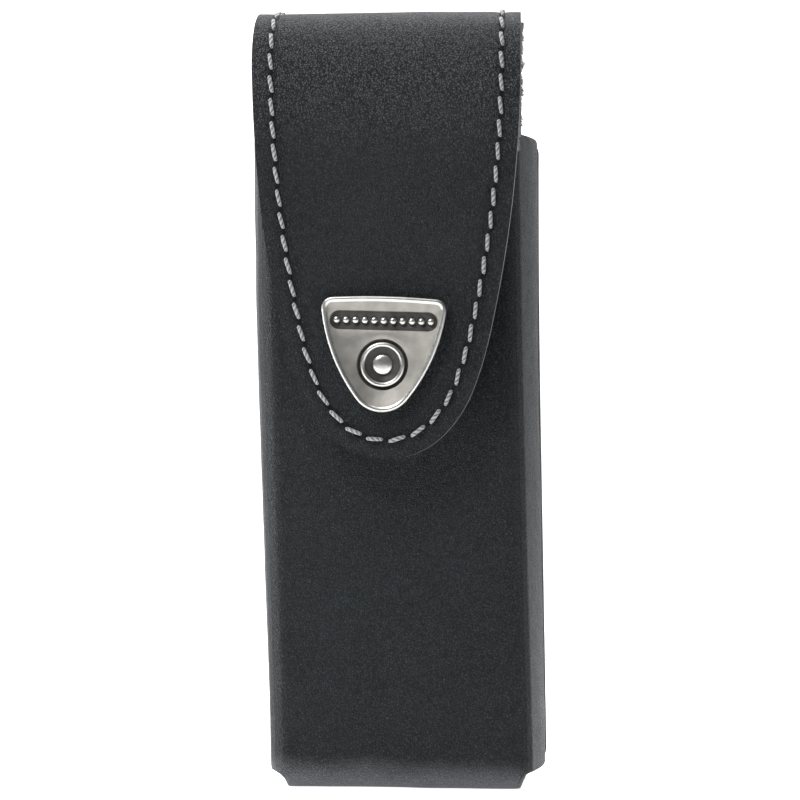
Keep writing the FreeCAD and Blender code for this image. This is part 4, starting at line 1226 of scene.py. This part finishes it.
def patch_seam(box):
    half = box_size(box) / 2 - PATCH_SEAM_EDGE
    return box_seam(box_middle(box)[2], half[0], half[2])


seam_piece("loop_patch_outer_thread", [patch_seam(loop_box)], on_pocket_front, ride_on_pouch,
           "loop_patch_needle_thread", thread=FINE, base=0.5)
seam_piece("loop_patch_inner_thread", [patch_seam(loop_box)], on_pocket_front, ride_on_pouch,
           "loop_patch_bobbin_thread", thread=FINE, base=-LEATHER, underside=True)
seam_piece("hook_patch_stitches", [patch_seam(hook_box)], under_tongue, ride_on_tongue,
           "hook_patch_thread", thread=FINE, base=0.45)

# %% [markdown]
# ## The badge
#
# A cast plate with the outline of a rounded triangle, riveted through the tongue. It has a raised
# polished rim, a brushed field, a long dark recess with a row of beads, and a round one with a
# ring and a domed pin. Loops of edges are laid along the outline, each a step further in, and
# bridged into the rim. The field is then filled round the loops of the two recesses.

# %% Badge finishes
def metal_finish(name, dark, light, rough_low, rough_high, scratch_mm):
    material, tree, shader = new_finish(name)
    spot = place_in_mm(tree)
    stretched = add(tree, "ShaderNodeVectorMath", {0: spot, 1: (0.5, 0.5, 3.5)}, operation="MULTIPLY")
    brushed = speckle(tree, stretched.outputs[0], 3.0, 4.0, 0.7)
    clouds = speckle(tree, spot, 0.4, 3.0)
    shade = combine(tree, "MULTIPLY_ADD", brushed, 0.4, combine(tree, "MULTIPLY", clouds, 0.6))
    wire(tree, shader, {"Metallic": 1.0},
         Base_Color=blend_colour(tree, fade(tree, shade, 0.3, 0.7), dark, light),
         Roughness=fade(tree, brushed, 0.3, 0.7, rough_low, rough_high),
         Normal=bump(tree, brushed, scratch_mm))
    return material


polished_nickel = metal_finish("polished_nickel", (0.42, 0.41, 0.39, 1), (0.6, 0.585, 0.56, 1),
                               0.26, 0.42, 0.006)
aged_nickel = metal_finish("aged_nickel", (0.24, 0.228, 0.21, 1), (0.34, 0.325, 0.3, 1),
                           0.52, 0.7, 0.03)
dark_recess = metal_finish("dark_recess", (0.035, 0.034, 0.032, 1), (0.09, 0.087, 0.083, 1),
                           0.55, 0.8, 0.02)
washer_steel = metal_finish("washer_steel", (0.35, 0.35, 0.35, 1), (0.55, 0.55, 0.54, 1),
                            0.3, 0.5, 0.01)
BRIGHT, AGED, DARK = 0, 1, 2

# %% Badge outline
BADGE_ARCS = [(5.6, 52.0), (31.0, 31.0), (1.9, 93.0)]
BADGE_POINTS = 180
BADGE_RIM = 0.9
badge_low, _ = size_mm("badge_plate")
BADGE_HEIGHT = FRONT - badge_low[1]
_, edge_x, _, edge_heading = trace((0.0, badge_low[2]), 0.0, BADGE_ARCS)
closing = math.pi - edge_heading[-1]
top_arc = (edge_x[-1] / math.sin(closing), math.degrees(closing))
_, half_x, half_z, _ = trace((0.0, badge_low[2]), 0.0, BADGE_ARCS + [top_arc])
badge_curve = np.stack([half_x, half_z], 1)
badge_loop = np.concatenate([badge_curve, (badge_curve * (-1, 1))[::-1][1:]])
badge_loop = even_points(badge_loop, BADGE_POINTS)[:-1]
print("badge", np.ptp(badge_loop, axis=0).round(1), "mm, stands", round(BADGE_HEIGHT, 2), "mm proud")


# %% Badge helpers
def edges_among(bm, verts):
    ring = set(verts)
    return [edge for edge in bm.edges if edge.verts[0] in ring and edge.verts[1] in ring]


def hoop(bm, points, height):
    """A closed loop of edges through points, at a height."""
    verts = bmesh.ops.create_circle(bm, segments=len(points), radius=1.0, cap_ends=False)["verts"]
    for vert, point in zip(verts, points):
        vert.co = (point[0], point[1], height)
    return edges_among(bm, verts)


def fill(bm, edges, finish):
    """Fills between loops of edges with faces of one finish."""
    made = bmesh.ops.triangle_fill(bm, use_beauty=True, use_dissolve=False, edges=edges)
    for face in only(BMFace, made):
        face.material_index = finish


def circle_points(middle, radius, count):
    """Points round a circle."""
    turns = np.linspace(0, 2 * math.pi, count, endpoint=False)
    return np.stack([middle[0] + radius * np.cos(turns), middle[1] + radius * np.sin(turns)], 1)


def slot_points(middle, half_length, radius, count):
    """A bar with round ends."""
    _, x, y, _ = trace((half_length - radius, -radius), 0.0, [(radius, 180.0)])
    arc = np.stack([x, y], 1)
    loop = np.concatenate([arc, -arc, arc[:1]])
    return even_points(loop, count)[:-1] + middle


def inset_loop(points, amount):
    """A closed loop moved inwards."""
    ahead, behind = np.roll(points, -1, 0), np.roll(points, 1, 0)
    along = ahead - behind
    along /= np.linalg.norm(along, axis=1)[:, None]
    return points + amount * np.stack([-along[:, 1], along[:, 0]], 1)


def dome(bm, middle, radius, height):
    """A bright bead with a soft top, rooted a little under the recess's floor."""
    for vert in bmesh.ops.create_uvsphere(bm, u_segments=20, v_segments=12, radius=1.0)["verts"]:
        x, y, z = vert.co
        vert.co = (middle[0] + x * radius, middle[1] + y * radius,
                   recess_floor + max(z, DOME_ROOT) * height)


# %% The badge
SLOT_MIDDLE = np.array([0.0, 81.0])
MEDAL_MIDDLE = np.array([0.0, 73.5])
SLOT_SIZE = np.array([9.4, 1.75])        # half its length, half its width
MEDAL_RADIUS = 4.5
FIELD_DROP = 0.3
RECESS_DROP = 0.75
BEADS = 11
BEAD_STEP = 1.62
BEAD_SIZE = (0.62, 0.5)                  # radius, height
PIN_SIZE = (1.75, 0.6)
DOME_ROOT = -0.2
RING_RADIUS = 3.45
RING_SECTION = 0.42
field_height = BADGE_HEIGHT - FIELD_DROP
recess_floor = BADGE_HEIGHT - RECESS_DROP

RIM_STEPS = [(0.0, -BADGE_HEIGHT - 0.05), (0.0, -0.42), (0.06, -0.2), (0.2, -0.05), (0.42, 0.0),
             (0.64, -0.06), (0.8, -0.18), (BADGE_RIM, -FIELD_DROP)]      # inset, height over the top
plate = bmesh.new()
hoops = [hoop(plate, inset_loop(badge_loop, inset), BADGE_HEIGHT + rise) for inset, rise in RIM_STEPS]
for lower, upper in zip(hoops, hoops[1:]):
    bmesh.ops.bridge_loops(plate, edges=lower + upper)
fill(plate, hoops[0], BRIGHT)


def slot_edge(inset):
    return slot_points(SLOT_MIDDLE, *(SLOT_SIZE - inset), 96)


def medal_edge(inset):
    return circle_points(MEDAL_MIDDLE, MEDAL_RADIUS - inset, 64)


recesses = [(hoop(plate, edge(0), field_height), edge) for edge in (slot_edge, medal_edge)]
fill(plate, hoops[-1] + recesses[0][0] + recesses[1][0], AGED)
for brink, edge in recesses:
    lip = hoop(plate, edge(0.08), field_height - 0.08)
    foot = hoop(plate, edge(0.14), recess_floor)
    bmesh.ops.bridge_loops(plate, edges=brink + lip)
    bmesh.ops.bridge_loops(plate, edges=lip + foot)
    fill(plate, foot, DARK)
bmesh.ops.recalc_face_normals(plate, faces=plate.faces[:])

for number in range(BEADS):
    dome(plate, SLOT_MIDDLE + (BEAD_STEP * (number - (BEADS - 1) / 2), 0), *BEAD_SIZE)
dome(plate, MEDAL_MIDDLE, *PIN_SIZE)
section = bmesh.ops.create_circle(plate, segments=12, radius=RING_SECTION, cap_ends=False)["verts"]
bmesh.ops.rotate(plate, verts=section, matrix=Matrix.Rotation(math.radians(90), 3, "X"))
bmesh.ops.translate(plate, verts=section,
                    vec=(MEDAL_MIDDLE[0] + RING_RADIUS, MEDAL_MIDDLE[1], recess_floor + 0.12))
bmesh.ops.spin(plate, geom=edges_among(plate, section), cent=(*MEDAL_MIDDLE, 0), axis=(0, 0, 1),
               angle=2 * math.pi, steps=56, use_merge=True)
bmesh.ops.recalc_face_normals(plate, faces=plate.faces[:])
for face in plate.faces:
    face.smooth = True

# %% Rivet the badge on
BADGE_TURN = math.radians(-1.6)     # riveted a touch askew
BADGE_SHIFT = -0.9


def on_tongue(spots):
    """Lays (across, up, out) flat on the tongue's outer face."""
    across, up, out = spots.T
    rise = up - SLOT_MIDDLE[1]
    cos, sin = math.cos(BADGE_TURN), math.sin(BADGE_TURN)
    return np.stack([across * cos - rise * sin + BADGE_SHIFT, FRONT - out,
                     SLOT_MIDDLE[1] + across * sin + rise * cos], 1)


reshape(plate, on_tongue)
bmesh.ops.recalc_face_normals(plate, faces=plate.faces[:])
finish_piece(plate, "badge", [polished_nickel, aged_nickel, dark_recess], "metal_nickel",
             ride_on_tongue, "badge_plate")
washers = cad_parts["badge_washers"]
washers.data.materials.clear()
washers.data.materials.append(washer_steel)

# %% [markdown]
# ## Floor and light
#
# The floor is a sheet of white that runs level under the pouch and curves up behind it. It glows
# like a light table, and fades on the right, where the pouch's side wall mirrors it. That lights
# the folds from behind and from below, as large white boards do in a studio. A tall soft lamp
# stands on the left, a wide one hangs above, and a small one from high in front brings out the
# grain. The air on the camera's side is left dim, so the black leather keeps its depth.

# %% Floor
GLOW_EDGE = 163.0
GLOW_FADE = 120.0
white_floor, tree, shader = new_finish("white_floor")
floor_side = add(tree, "ShaderNodeSeparateXYZ", {"Vector": place_in_mm(tree)}).outputs["X"]
# The floor's glow is light, not colour: full on the left, fading to a third on the right.
floor_glow = blend_colour(tree, fade(tree, floor_side, GLOW_EDGE, GLOW_EDGE + GLOW_FADE),
                          (1.0, 1.0, 1.0, 1), (0.3, 0.3, 0.3, 1))
wire(tree, shader, {"Base Color": (0.9, 0.9, 0.9, 1), "Emission Strength": 1.0, "Roughness": 0.9,
                    "Specular IOR Level": 0.0}, Emission_Color=floor_glow)

FLOOR_FRONT = -420.0
FLOOR_BACK = 800.0
FLOOR_CURVE = 200.0
FLOOR_RISE = 900.0
FLOOR_WIDTH = 2200.0
floor_profile = trace((FLOOR_FRONT, -0.1), 0.0,
                      [FLOOR_BACK - FLOOR_FRONT, (FLOOR_CURVE, 90.0), FLOOR_RISE])
sweep = rectangle(FLOOR_WIDTH, floor_profile[0][-1], 2, 90)


def roll_floor(spots):
    y, z, _ = look_up(floor_profile, spots[:, 1])
    return np.stack([spots[:, 0], y, z], 1)


reshape(sweep, roll_floor)
finish_piece(sweep, "studio_floor", [white_floor])


# %% Lamps
def soft_lamp(name, place, target, width, height, power):
    """A rectangular lamp, with sizes in millimetres and power in watts."""
    lamp = bpy.data.lights.new(name, "AREA")
    lamp.shape = "RECTANGLE"
    lamp.size, lamp.size_y = width * MM, height * MM
    lamp.energy = power
    stand = bpy.data.objects.new(name, lamp)
    stand.location = Vector(place) * MM
    stand.rotation_euler = (Vector(target) - Vector(place)).to_track_quat("-Z", "Y").to_euler()
    bpy.context.scene.collection.objects.link(stand)


soft_lamp("left_lamp", (-420, 60, 80), (0, 0, 70), 200, 240, 2.8)
soft_lamp("top_lamp", (-40, 40, 420), (0, -10, 130), 600, 420, 3.0)
soft_lamp("key_lamp", (-220, -230, 430), (0, 0, 70), 110, 110, 1.6)

air = bpy.data.worlds.new("studio_air")
bpy.context.scene.world = air
air.use_nodes = True
dim_air = air.node_tree.nodes["Background"]
dim_air.inputs["Color"].default_value = (0.8, 0.93, 1.0, 1)
dim_air.inputs["Strength"].default_value = 0.145
pale_wall = add(air.node_tree, "ShaderNodeBackground", {"Color": (1, 1, 1, 1), "Strength": 1.0})
looked_at = add(air.node_tree, "ShaderNodeLightPath").outputs["Is Camera Ray"]
seen = add(air.node_tree, "ShaderNodeMixShader",
           {0: looked_at, 1: dim_air.outputs[0], 2: pale_wall.outputs[0]})
air.node_tree.links.new(seen.outputs[0], air.node_tree.nodes["World Output"].inputs["Surface"])
